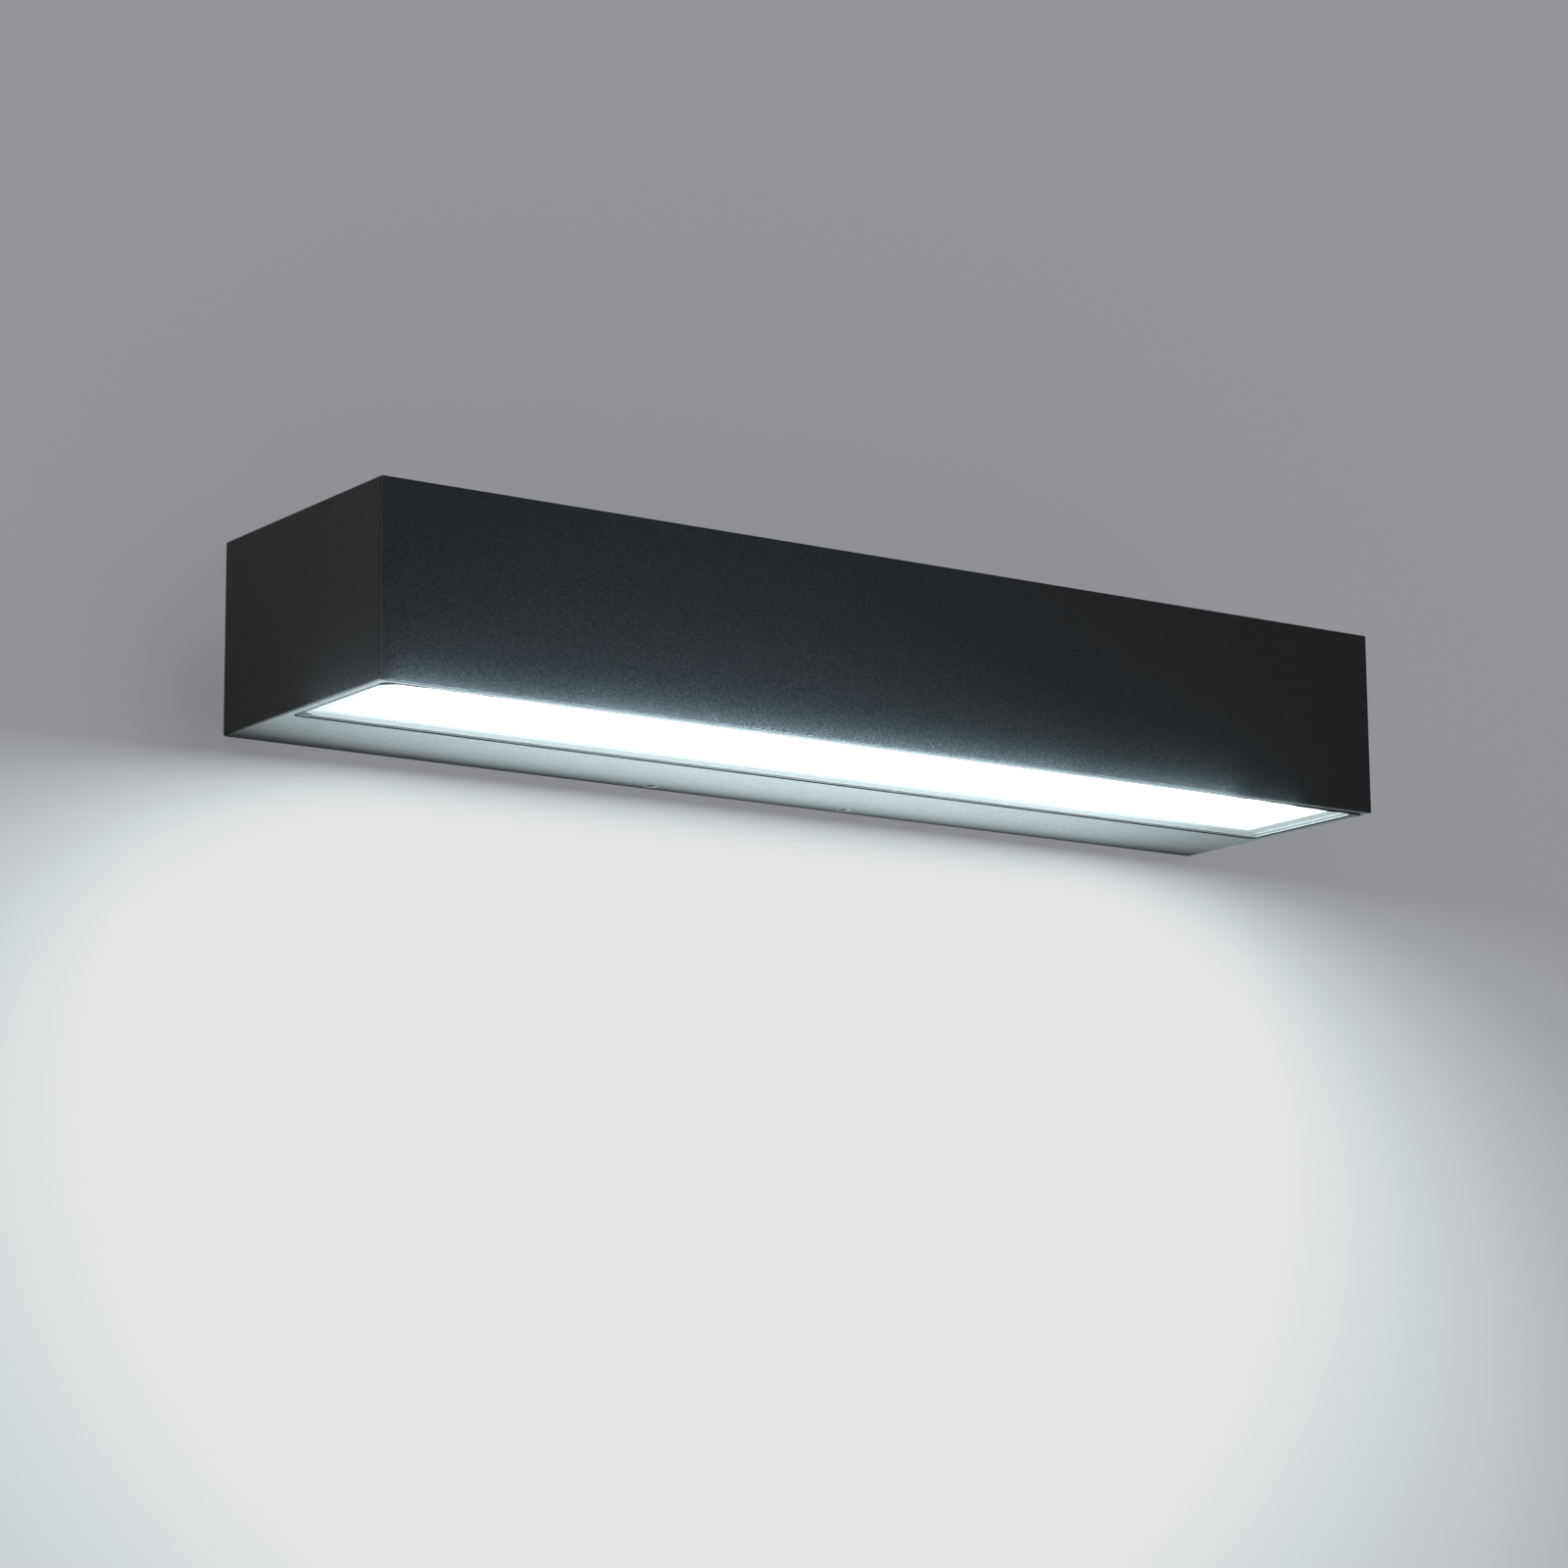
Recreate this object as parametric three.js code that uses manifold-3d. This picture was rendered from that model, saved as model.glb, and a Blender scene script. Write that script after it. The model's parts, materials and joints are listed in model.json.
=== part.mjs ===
// Outdoor wall light: a long cast box that hangs on a steel wall bracket and shines down.
// Millimetres. +X runs to the right as seen from the front, +Y into the wall, +Z up.
// The origin is the middle of the bracket's back face, which lies on the wall.
import * as THREE from 'three';
import { mergeVertices } from 'three/addons/utils/BufferGeometryUtils.js';
import Module from 'manifold-3d';

const wasm = await Module();
wasm.setup();

// Overall size
const LENGTH = 400;
const DEPTH = 100;
const HEIGHT = 64;

// Clearances used all over
const SEAT_GAP = 0.3;
const OVERRUN = 1;
const FUSE_DEPTH = 0.6;
const WELD_DISTANCE = 0.0001;

// Housing casting
const END_WALL = 3;
const FRONT_WALL = 2.2;
const TOP_WALL = 2.5;
const FLOOR_THICKNESS = 2.5;
const EDGE_RADIUS = 0.9;
const WALL_GAP = 0.4;

// Light opening on the underside
const STRIP_DEPTH = 39.4;
const POCKET_RIB = 2.5;
const PANE_THICKNESS = 4;
const PANE_RECESS = 0.2;
const PANE_SIDE_GAP = 1.2;
const PANE_REAR_GAP = 2.6;
const PANE_CORNER = 1.5;
const PANE_ARRIS = 0.3;
const PANE_SEAL_LIP = 0.6;
const LEDGE_THICKNESS = 2.5;
const WINDOW_END_BORDER = 7;
const WINDOW_FRONT_BORDER = 2.8;
const WINDOW_REAR_BORDER = 5;
const WINDOW_CORNER = 2;
const SEAL_NIB_RADIUS = 1.7;
const SEAL_NIB_DROP = 0.7;

// Opal diffuser, a shallow moulded tray that drops into the window
const DIFFUSER_FACE = 2;
const DIFFUSER_WALL = 1.5;
const DIFFUSER_RIM = 1.2;
const DIFFUSER_RIM_WIDTH = 1.2;

// Reflector, a pressed white frame
const REFLECTOR_SHEET = 0.9;
const REFLECTOR_FOOT = 0.5;
const REFLECTOR_END_SLOPE = 3;
const REFLECTOR_BOARD_GAP = 3.4;

// Gear tray, a bent aluminium sheet
const TRAY_SHEET = 2;
const TRAY_RISE = 17;
const TRAY_END_CLEARANCE = 1;
const TRAY_FRONT_CLEARANCE = 0.6;
const FLANGE_HEIGHT = 20;
const FLANGE_CLEARANCE = 0.7;
const TRAY_BOSS_RADIUS = 3.2;
const TRAY_BOSS_INSET = 2.1;
const TRAY_BOSS_HOLE_DEPTH = 9;
const TRAY_BOSS_SHARES = [-0.78, 0, 0.78];
const LUG_SHARES = [-0.7, 0, 0.7];
const LUG_WIDTH = 24;
const LUG_REACH = 4;
const LUG_THICKNESS = 2.4;

// Lamp board with its emitters
const BOARD_THICKNESS = 1.6;
const BOARD_WIDTH = 20;
const BOARD_END_SPACE = 12.8;
const EMITTER_COUNT = 24;
const EMITTER_LENGTH = 3;
const EMITTER_WIDTH = 2.8;
const EMITTER_HEIGHT = 0.7;
const EMITTER_END_SPACE = 17;
const CONNECTOR_LENGTH = 7;
const CONNECTOR_WIDTH = 8;
const CONNECTOR_HEIGHT = 4;
const CONNECTOR_END_SPACE = 4;
const BOARD_SCREW_COUNT = 4;

// Driver module
const DRIVER_INPUT_SPACE = 25;
const DRIVER_CASE_HEIGHT = 15;
const DRIVER_LID_HEIGHT = 6;
const DRIVER_CORNER = 2;
const DRIVER_EAR_LENGTH = 9;
const DRIVER_EAR_THICKNESS = 3;
const DRIVER_EAR_SHARE = 0.5;
const DRIVER_END_SPACE = 14;
const DRIVER_FRONT_SPACE = 6;
const DRIVER_REAR_SPACE = 11;
const DRIVER_LID_INSET = 0.8;

// Terminal block on the tray's flange
const BLOCK_DEPTH = 12;
const BLOCK_HEIGHT = 16;
const BLOCK_LIFT = 3;
const POLE_COUNT = 3;
const POLE_PITCH = 10;
const POLE_BORE_RADIUS = 2;
const POLE_TOWER_RADIUS = 3.6;
const POLE_TOWER_HEIGHT = 2;
const POLE_SCREW_RADIUS = 1.6;
const BLOCK_SCREW_INSET = 2.9;

// Fasteners
const SMALL_SCREW_RADIUS = 1.5;
const SMALL_HEAD_RADIUS = 2.75;
const SMALL_HEAD_HEIGHT = 2;
const COVER_SCREW_LENGTH = 12;
const TRAY_SCREW_LENGTH = 9;
const EARTH_SCREW_RADIUS = 2;
const EARTH_HEAD_RADIUS = 3.8;
const EARTH_HEAD_HEIGHT = 2.6;
const EARTH_SCREW_LENGTH = 8;
const EARTH_OFFSET = 14;
const EARTH_TAG_RADIUS = 4.6;
const EARTH_TAG_THICKNESS = 0.8;
const HEAD_DRIVE_RADIUS = 1.2;
const HEAD_DRIVE_DEPTH = 1.1;

// Rear cover and its seal
const RECESS_DEPTH = 15;
const COVER_THICKNESS = 2;
const COVER_EDGE_GAP = 0.6;
const COVER_CORNER = 2;
const COVER_SEAL_THICKNESS = 1.9;
const SHOULDER_WIDTH = 8;
const SHOULDER_THICKNESS = 3;
const COVER_SCREW_COLUMNS = 4;
const COVER_SCREW_INSET = 4.6;
const COVER_BOSS_RADIUS = 3.6;
const COVER_BOSS_LENGTH = 11;

// Cable gland
const GLAND_OFFSET = 29;
const GLAND_THREAD_RADIUS = 8;
const GLAND_BORE_RADIUS = 5;
const GLAND_HEX_RADIUS = 11;
const GLAND_HEX_THICKNESS = 3;
const GLAND_THREAD_INNER_LENGTH = 8;
const GLAND_THREAD_OUTER_LENGTH = 4.4;
const GLAND_LOCKNUT_THICKNESS = 4;
const GLAND_NUT_RADIUS = 10.6;
const GLAND_NUT_WALL = 2.4;
const GLAND_NUT_LIP = 1.5;
const GLAND_GRIP_COUNT = 12;
const GLAND_GRIP_RADIUS = 0.6;
const GLAND_INSERT_LENGTH = 2.2;
const GLAND_INSERT_BORE_RADIUS = 4;

// Wall bracket, a bent steel strap
const BRACKET_SHEET = 2;
const BRACKET_HALF_LENGTH = 65;
const BRACKET_REACH = 11.5;
const BRACKET_BEND_RADIUS = 3;
const EAR_LENGTH = 24;
const CABLE_WINDOW_LENGTH = 30;
const CABLE_WINDOW_HEIGHT = 28;
const CABLE_WINDOW_CORNER = 4;
const SLOT_LENGTH = 14;
const SLOT_RADIUS = 2.6;
const SLOT_END_SPACE = 11;
const STIFFENER_SLOT_LENGTH = 10;

// Locking set screws through the underside, close to the wall
const SET_SCREW_OFFSET = 40;
const SET_SCREW_INSET = 4.6;
const SET_SCREW_RADIUS = 2;
const SET_SCREW_GAP = 0.2;
const SET_SCREW_SUNK = 0.3;
const SET_SCREW_SOCKET_RADIUS = 1.15;
const SET_SCREW_SOCKET_DEPTH = 1.8;
const PAD_HEIGHT = 1.5;
const PAD_LENGTH = 13;
const PAD_DEPTH = 9;

// Inner leads
const LEAD_RADIUS = 1;
const LEAD_SPACING = 1.6;
const LEAD_HOLE_RADIUS = 3.2;
const LEAD_HOLE_OFFSET = 4.5;
const LEAD_SIDES = 8;
const LEAD_STEP = 3.5;
const LEAD_EXIT_HEIGHT = 8;
const LEAD_BEND = 5;

// How finely arcs are drawn
const ARC_STEPS = 3;
const ROUND_SIDES = 16;
const SCREW_SIDES = 12;
const BORE_SIDES = 24;
const HEX_SIDES = 6;

// Planes worked out from the sizes above
const xOut = LENGTH / 2;
const xIn = xOut - END_WALL;
const yFront = -DEPTH;
const yIn = yFront + FRONT_WALL;
const zTop = HEIGHT / 2;
const zTopIn = zTop - TOP_WALL;
const zBottom = -HEIGHT / 2;
const zFloor = zBottom + FLOOR_THICKNESS;
const yRibFront = -STRIP_DEPTH;
const yRibRear = yRibFront + POCKET_RIB;
const xPane = xIn - PANE_SIDE_GAP;
const yPaneFront = yIn + PANE_SIDE_GAP;
const yPaneRear = yRibFront - PANE_REAR_GAP;
const zPaneBottom = zBottom + PANE_RECESS;
const zPaneTop = zPaneBottom + PANE_THICKNESS;
const zLedgeBottom = zPaneTop + SEAT_GAP + PANE_SEAL_LIP + SEAT_GAP;
const zLedgeTop = zLedgeBottom + LEDGE_THICKNESS;
const xWindow = xPane - WINDOW_END_BORDER;
const yWindowFront = yPaneFront + WINDOW_FRONT_BORDER;
const yWindowRear = yPaneRear - WINDOW_REAR_BORDER;
const yWindowMid = (yWindowFront + yWindowRear) / 2;

const yCoverRear = -RECESS_DEPTH;
const yCoverFront = yCoverRear - COVER_THICKNESS;
const ySealRear = yCoverFront - SEAT_GAP;
const ySealFront = ySealRear - COVER_SEAL_THICKNESS;
const yShoulderRear = ySealFront - SEAT_GAP;
const yShoulderFront = yShoulderRear - SHOULDER_THICKNESS;
const xCover = xIn - COVER_EDGE_GAP;
const zCoverTop = zTopIn - COVER_EDGE_GAP;
const zCoverBottom = zFloor + COVER_EDGE_GAP;
const xOpening = xIn - SHOULDER_WIDTH;

const zDiffuserBottom = zPaneTop + SEAT_GAP;
const zDiffuserRim = zLedgeTop + SEAT_GAP;
const zDiffuserTop = zDiffuserRim + DIFFUSER_RIM;
const zReflectorBottom = zDiffuserTop + SEAT_GAP;

const xTray = xOpening - TRAY_END_CLEARANCE;
const zTrayBottom = zLedgeTop + TRAY_RISE + SEAT_GAP;
const zTrayTop = zTrayBottom + TRAY_SHEET;
const yTrayFront = yIn + TRAY_FRONT_CLEARANCE;
const yTrayBoss = yRibFront - TRAY_BOSS_INSET;
const yFlangeFront = yTrayBoss + SMALL_HEAD_RADIUS + FLANGE_CLEARANCE;
const yFlangeRear = yFlangeFront + TRAY_SHEET;
const zFlangeTop = zTrayBottom + FLANGE_HEIGHT;

const zBoardTop = zTrayBottom - SEAT_GAP;
const zBoardBottom = zBoardTop - BOARD_THICKNESS;
const xBoard = xWindow - BOARD_END_SPACE;
const emitterPitch = (2 * (xBoard - EMITTER_END_SPACE)) / (EMITTER_COUNT - 1);
const xConnectorRight = xBoard - CONNECTOR_END_SPACE;
const xConnectorLeft = xConnectorRight - CONNECTOR_LENGTH;

const zDriverBottom = zTrayTop + SEAT_GAP;
const zDriverSplit = zDriverBottom + DRIVER_CASE_HEIGHT;
const zDriverTop = zDriverSplit + SEAT_GAP + DRIVER_LID_HEIGHT;
const blockLength = POLE_COUNT * POLE_PITCH;
const xLastPole = (blockLength - POLE_PITCH) / 2;
const xDriverLeft = xLastPole + DRIVER_INPUT_SPACE;
const xDriverRight = xTray - DRIVER_END_SPACE - DRIVER_EAR_LENGTH;
const yDriverFront = yTrayFront + DRIVER_FRONT_SPACE;
const yDriverRear = yTrayBoss - SMALL_HEAD_RADIUS - DRIVER_REAR_SPACE;
const yDriverMid = (yDriverFront + yDriverRear) / 2;
const driverEarHalf = ((yDriverRear - yDriverFront) / 2) * DRIVER_EAR_SHARE;

const yBlockFront = yFlangeRear + SEAT_GAP;
const yBlockRear = yBlockFront + BLOCK_DEPTH;
const yWire = (yBlockFront + yBlockRear) / 2;
const zBlockBottom = zTrayBottom + BLOCK_LIFT;
const zBlockTop = zBlockBottom + BLOCK_HEIGHT;
const zBlockMid = (zBlockBottom + zBlockTop) / 2;
const zBlockScrew = zBlockBottom + BLOCK_SCREW_INSET;
const xEarth = -blockLength / 2 - EARTH_OFFSET;

const yGlandHexFront = yCoverRear + SEAT_GAP;
const yGlandHexRear = yGlandHexFront + GLAND_HEX_THICKNESS;
const yGlandRear = yGlandHexRear + GLAND_THREAD_OUTER_LENGTH;
const yGlandFront = yCoverFront - GLAND_THREAD_INNER_LENGTH;
const yInsertRear = yGlandRear + SEAT_GAP + GLAND_INSERT_LENGTH;
const yNutRear = yInsertRear + SEAT_GAP + GLAND_NUT_LIP;

const ySetScrew = -WALL_GAP - SET_SCREW_INSET;
const zPad = zFloor + PAD_HEIGHT;
const zBracketBottom = zPad + SEAT_GAP;
const zBracketTop = zTopIn - SEAT_GAP;
const zBracketMid = (zBracketBottom + zBracketTop) / 2;

// Geometry helpers

/** Turns a closed geometry into a solid that can be joined and cut. */
function solid(geometry) {
  const bare = geometry.clone();
  bare.deleteAttribute('normal');
  bare.deleteAttribute('uv');
  const welded = mergeVertices(bare, WELD_DISTANCE);
  return new wasm.Manifold(new wasm.Mesh({
    numProp: 3,
    vertProperties: new Float32Array(welded.attributes.position.array),
    triVerts: new Uint32Array(welded.index.array),
  }));
}

/** Gives the surface of a solid back as a geometry. */
function surface(body) {
  const mesh = body.getMesh();
  const geometry = new THREE.BufferGeometry();
  geometry.setAttribute('position', new THREE.BufferAttribute(mesh.vertProperties, 3));
  geometry.setIndex(new THREE.BufferAttribute(mesh.triVerts, 1));
  return geometry;
}

/** A plain block between two corners. */
function block(x0, x1, y0, y1, z0, z1) {
  const geometry = new THREE.BoxGeometry(x1 - x0, y1 - y0, z1 - z0);
  geometry.translate((x0 + x1) / 2, (y0 + y1) / 2, (z0 + z1) / 2);
  return solid(geometry);
}

/** A round bar along Y. */
function barY(radius, y0, y1, x, z, sides = ROUND_SIDES) {
  const geometry = new THREE.CylinderGeometry(radius, radius, y1 - y0, sides);
  geometry.translate(x, (y0 + y1) / 2, z);
  return solid(geometry);
}

/** A round bar along Z. */
function barZ(radius, z0, z1, x, y, sides = ROUND_SIDES) {
  const geometry = new THREE.CylinderGeometry(radius, radius, z1 - z0, sides);
  geometry.rotateX(Math.PI / 2);
  geometry.translate(x, y, (z0 + z1) / 2);
  return solid(geometry);
}

/** A rectangle with round corners, as a shape or as a hole in one. */
function roundedRect(u0, u1, v0, v1, radius, Kind = THREE.Shape) {
  const path = new Kind();
  path.absarc(u1 - radius, v1 - radius, radius, 0, Math.PI / 2);
  path.absarc(u0 + radius, v1 - radius, radius, Math.PI / 2, Math.PI);
  path.absarc(u0 + radius, v0 + radius, radius, Math.PI, Math.PI * 1.5);
  path.absarc(u1 - radius, v0 + radius, radius, Math.PI * 1.5, Math.PI * 2);
  path.closePath();
  return path;
}

/** Draws a shape in the XY plane and raises it from z0 to z1, with an arris if asked. */
function riseZ(shape, z0, z1, arris = 0) {
  const geometry = new THREE.ExtrudeGeometry(shape, {
    depth: z1 - z0 - 2 * arris,
    curveSegments: ARC_STEPS,
    bevelEnabled: arris > 0,
    bevelSize: arris,
    bevelThickness: arris,
    bevelOffset: -arris,
    bevelSegments: 1,
  });
  geometry.translate(0, 0, z0 + arris);
  return solid(geometry);
}

/** Draws a shape in the YZ plane and carries it from x0 to x1. */
function runX(shape, x0, x1) {
  const geometry = new THREE.ExtrudeGeometry(shape, {
    depth: x1 - x0, curveSegments: ARC_STEPS, bevelEnabled: false,
  });
  const turn = new THREE.Matrix4().makeBasis(
    new THREE.Vector3(0, 1, 0), new THREE.Vector3(0, 0, 1), new THREE.Vector3(1, 0, 0),
  );
  geometry.applyMatrix4(turn.setPosition(x0, 0, 0));
  return solid(geometry);
}

/** Draws a shape in the XZ plane and carries it from y1 back to y0. */
function runY(shape, y0, y1) {
  const geometry = new THREE.ExtrudeGeometry(shape, {
    depth: y1 - y0, curveSegments: ARC_STEPS, bevelEnabled: false,
  });
  const turn = new THREE.Matrix4().makeBasis(
    new THREE.Vector3(1, 0, 0), new THREE.Vector3(0, 0, 1), new THREE.Vector3(0, -1, 0),
  );
  geometry.applyMatrix4(turn.setPosition(0, y1, 0));
  return solid(geometry);
}

/** Revolves an outline of [radius, y] points about a line along Y through (x, z). */
function revolveY(outline, x, z, sides = BORE_SIDES) {
  const points = outline.map(([radius, y]) => new THREE.Vector2(radius, y));
  const geometry = new THREE.LatheGeometry(points, sides);
  geometry.translate(x, 0, z);
  return solid(geometry);
}

/** Joins rectangular rings, given in order round a closed section, into one frame. */
function ringLoft(rings) {
  const corners = rings.flatMap(({ x, y0, y1, z }) => (
    [[-x, y0, z], [x, y0, z], [x, y1, z], [-x, y1, z]]
  ));
  const index = [];
  rings.forEach((ring, row) => {
    const next = (row + 1) % rings.length;
    for (let side = 0; side < 4; side += 1) {
      const a = row * 4 + side;
      const b = row * 4 + ((side + 1) % 4);
      const c = next * 4 + ((side + 1) % 4);
      const d = next * 4 + side;
      index.push(a, b, c, a, c, d);
    }
  });
  const geometry = new THREE.BufferGeometry();
  geometry.setAttribute('position', new THREE.Float32BufferAttribute(corners.flat(), 3));
  geometry.setIndex(index);
  return solid(geometry);
}

/** Cuts every tool out of a body. */
function cut(body, tools) {
  return tools.reduce((rest, tool) => rest.subtract(tool), body);
}

/** Joins every extra onto a body. */
function join(body, extras) {
  return extras.reduce((whole, extra) => whole.add(extra), body);
}

/** Even places from low to high. */
function spread(count, low, high) {
  return Array.from({ length: count }, (_, i) => low + ((high - low) * i) / (count - 1));
}

/** A pan-head screw along Z with its head above z and its shank below. */
function panScrewZ(x, y, z, length, radius = SMALL_SCREW_RADIUS, pointsUp = false) {
  const way = pointsUp ? -1 : 1;
  const low = Math.min(z, z + way * SMALL_HEAD_HEIGHT);
  const head = barZ(SMALL_HEAD_RADIUS, low, low + SMALL_HEAD_HEIGHT, x, y, SCREW_SIDES);
  const tip = z - way * length;
  const inside = z + way * FUSE_DEPTH;
  const shank = barZ(radius, Math.min(tip, inside), Math.max(tip, inside), x, y, SCREW_SIDES);
  const face = z + way * SMALL_HEAD_HEIGHT;
  const floor = face - way * HEAD_DRIVE_DEPTH;
  const over = face + way * OVERRUN;
  const drive = barZ(
    HEAD_DRIVE_RADIUS, Math.min(floor, over), Math.max(floor, over), x, y, HEX_SIDES,
  );
  return head.add(shank).subtract(drive);
}

/** A pan-head screw along Y, driven from the rear: its head starts at y. */
function panScrewY(x, y, z, length, radius, headRadius, headHeight) {
  const head = barY(headRadius, y, y + headHeight, x, z, SCREW_SIDES);
  const shank = barY(radius, y - length, y + FUSE_DEPTH, x, z, SCREW_SIDES);
  const face = y + headHeight;
  const drive = barY(
    HEAD_DRIVE_RADIUS, face - HEAD_DRIVE_DEPTH, face + OVERRUN, x, z, HEX_SIDES,
  );
  return head.add(shank).subtract(drive);
}

// Places that several pieces share
const trayBossPlaces = TRAY_BOSS_SHARES.map((share) => share * xTray);
const lugPlaces = LUG_SHARES.map((share) => share * xTray);
const setScrewPlaces = [-SET_SCREW_OFFSET, SET_SCREW_OFFSET];
const polePlaces = spread(POLE_COUNT, -xLastPole, xLastPole);
const xBlockScrew = (polePlaces[0] + polePlaces[1]) / 2;
const emitterPlaces = spread(EMITTER_COUNT, -xBoard + EMITTER_END_SPACE, xBoard - EMITTER_END_SPACE);
const boardScrewPlaces = spread(BOARD_SCREW_COUNT, 1, 2 * BOARD_SCREW_COUNT - 1).map((eighth) => {
  const gap = Math.round((eighth / (2 * BOARD_SCREW_COUNT)) * (EMITTER_COUNT - 1) - 0.5);
  return emitterPlaces[gap] + emitterPitch / 2;
});
const driverScrewPlaces = [xDriverLeft - DRIVER_EAR_LENGTH / 2, xDriverRight + DRIVER_EAR_LENGTH / 2];
const xLeadHole = xBoard + LEAD_HOLE_OFFSET;
const coverScrewPlaces = [zTopIn - COVER_SCREW_INSET, zFloor + COVER_SCREW_INSET].flatMap((z) => (
  spread(COVER_SCREW_COLUMNS, -xIn + COVER_SCREW_INSET, xIn - COVER_SCREW_INSET).map((x) => [x, z])
));

// Housing

/** The plain outside of the box, with its front and long edges rounded. */
function housingBox() {
  const face = roundedRect(-xOut, xOut, zBottom, zTop, EDGE_RADIUS);
  const side = new THREE.Shape();
  side.moveTo(-WALL_GAP, zBottom);
  side.lineTo(-WALL_GAP, zTop);
  side.absarc(yFront + EDGE_RADIUS, zTop - EDGE_RADIUS, EDGE_RADIUS, Math.PI / 2, Math.PI);
  side.absarc(yFront + EDGE_RADIUS, zBottom + EDGE_RADIUS, EDGE_RADIUS, Math.PI, Math.PI * 1.5);
  side.closePath();
  const plan = new THREE.Shape();
  plan.moveTo(xOut, -WALL_GAP);
  plan.lineTo(-xOut, -WALL_GAP);
  plan.absarc(-xOut + EDGE_RADIUS, yFront + EDGE_RADIUS, EDGE_RADIUS, Math.PI, Math.PI * 1.5);
  plan.absarc(xOut - EDGE_RADIUS, yFront + EDGE_RADIUS, EDGE_RADIUS, Math.PI * 1.5, Math.PI * 2);
  plan.closePath();
  return runY(face, yFront, -WALL_GAP)
    .intersect(runX(side, -xOut, xOut))
    .intersect(riseZ(plan, zBottom, zTop));
}

/** The inside of the box: high over the light opening, deep over the rear strip. */
function housingCavity() {
  const side = new THREE.Shape();
  side.moveTo(OVERRUN, zTopIn);
  side.lineTo(yIn, zTopIn);
  side.lineTo(yIn, zLedgeTop);
  side.lineTo(yRibRear, zLedgeTop);
  side.lineTo(yRibRear, zFloor);
  side.lineTo(OVERRUN, zFloor);
  side.closePath();
  return runX(side, -xIn, xIn);
}

/** The shoulder that the rear cover seals on, one frame round the inside. */
function housingShoulder() {
  const frame = roundedRect(
    -xIn - FUSE_DEPTH, xIn + FUSE_DEPTH, zFloor - FUSE_DEPTH, zTopIn + FUSE_DEPTH, COVER_CORNER,
  );
  frame.holes.push(roundedRect(
    -xOpening, xOpening, zFloor + SHOULDER_WIDTH, zTopIn - SHOULDER_WIDTH, COVER_CORNER, THREE.Path,
  ));
  return runY(frame, yShoulderFront, yShoulderRear);
}

/** Hooked lugs on the front wall that hold the tray's front edge between two fingers. */
function housingLugs() {
  return lugPlaces.flatMap((x) => {
    const left = x - LUG_WIDTH / 2;
    const right = x + LUG_WIDTH / 2;
    const reach = yIn + LUG_REACH;
    const under = zTrayBottom - SEAT_GAP;
    const over = zTrayTop + SEAT_GAP;
    return [
      block(left, right, yIn - FUSE_DEPTH, reach, under - LUG_THICKNESS, under),
      block(left, right, yIn - FUSE_DEPTH, reach, over, over + LUG_THICKNESS),
    ];
  });
}

/** The cast housing, open at the back, with ledge, shoulder, bosses, lugs and pads. */
function housing() {
  const pocket = riseZ(
    roundedRect(-xIn, xIn, yIn, yRibFront, PANE_CORNER + PANE_SIDE_GAP),
    zBottom - OVERRUN, zLedgeBottom,
  );
  const windowCut = riseZ(
    roundedRect(-xWindow, xWindow, yWindowFront, yWindowRear, WINDOW_CORNER),
    zLedgeBottom - OVERRUN, zLedgeTop + OVERRUN,
  );
  const shell = cut(housingBox(), [housingCavity(), pocket, windowCut]);
  const coverBosses = coverScrewPlaces.map(([x, z]) => (
    barY(COVER_BOSS_RADIUS, yShoulderRear - COVER_BOSS_LENGTH, yShoulderRear, x, z)
  ));
  const coverHoles = coverScrewPlaces.map(([x, z]) => (
    barY(
      SMALL_SCREW_RADIUS + SEAT_GAP, yShoulderRear - COVER_BOSS_LENGTH + OVERRUN,
      yShoulderRear + OVERRUN, x, z,
    )
  ));
  const zBoss = zTrayBottom - SEAT_GAP;
  const trayBosses = trayBossPlaces.map((x) => (
    barZ(TRAY_BOSS_RADIUS, zLedgeTop - FUSE_DEPTH, zBoss, x, yTrayBoss)
  ));
  const trayHoles = trayBossPlaces.map((x) => (
    barZ(SMALL_SCREW_RADIUS + SEAT_GAP, zBoss - TRAY_BOSS_HOLE_DEPTH, zBoss + OVERRUN, x, yTrayBoss)
  ));
  const pads = setScrewPlaces.map((x) => (
    block(
      x - PAD_LENGTH / 2, x + PAD_LENGTH / 2, -WALL_GAP - PAD_DEPTH, -WALL_GAP,
      zFloor - FUSE_DEPTH, zPad,
    )
  ));
  const padHoles = setScrewPlaces.map((x) => (
    barZ(SET_SCREW_RADIUS + SET_SCREW_GAP, zBottom - OVERRUN, zPad + OVERRUN, x, ySetScrew)
  ));
  const whole = join(
    shell, [housingShoulder(), ...coverBosses, ...trayBosses, ...housingLugs(), ...pads],
  );
  return cut(whole, [...coverHoles, ...trayHoles, ...padHoles]);
}

// Light opening

/** The clear toughened pane, flush with the underside. */
function pane() {
  const outline = roundedRect(-xPane, xPane, yPaneFront, yPaneRear, PANE_CORNER);
  return riseZ(outline, zPaneBottom, zPaneTop, PANE_ARRIS);
}

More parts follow.
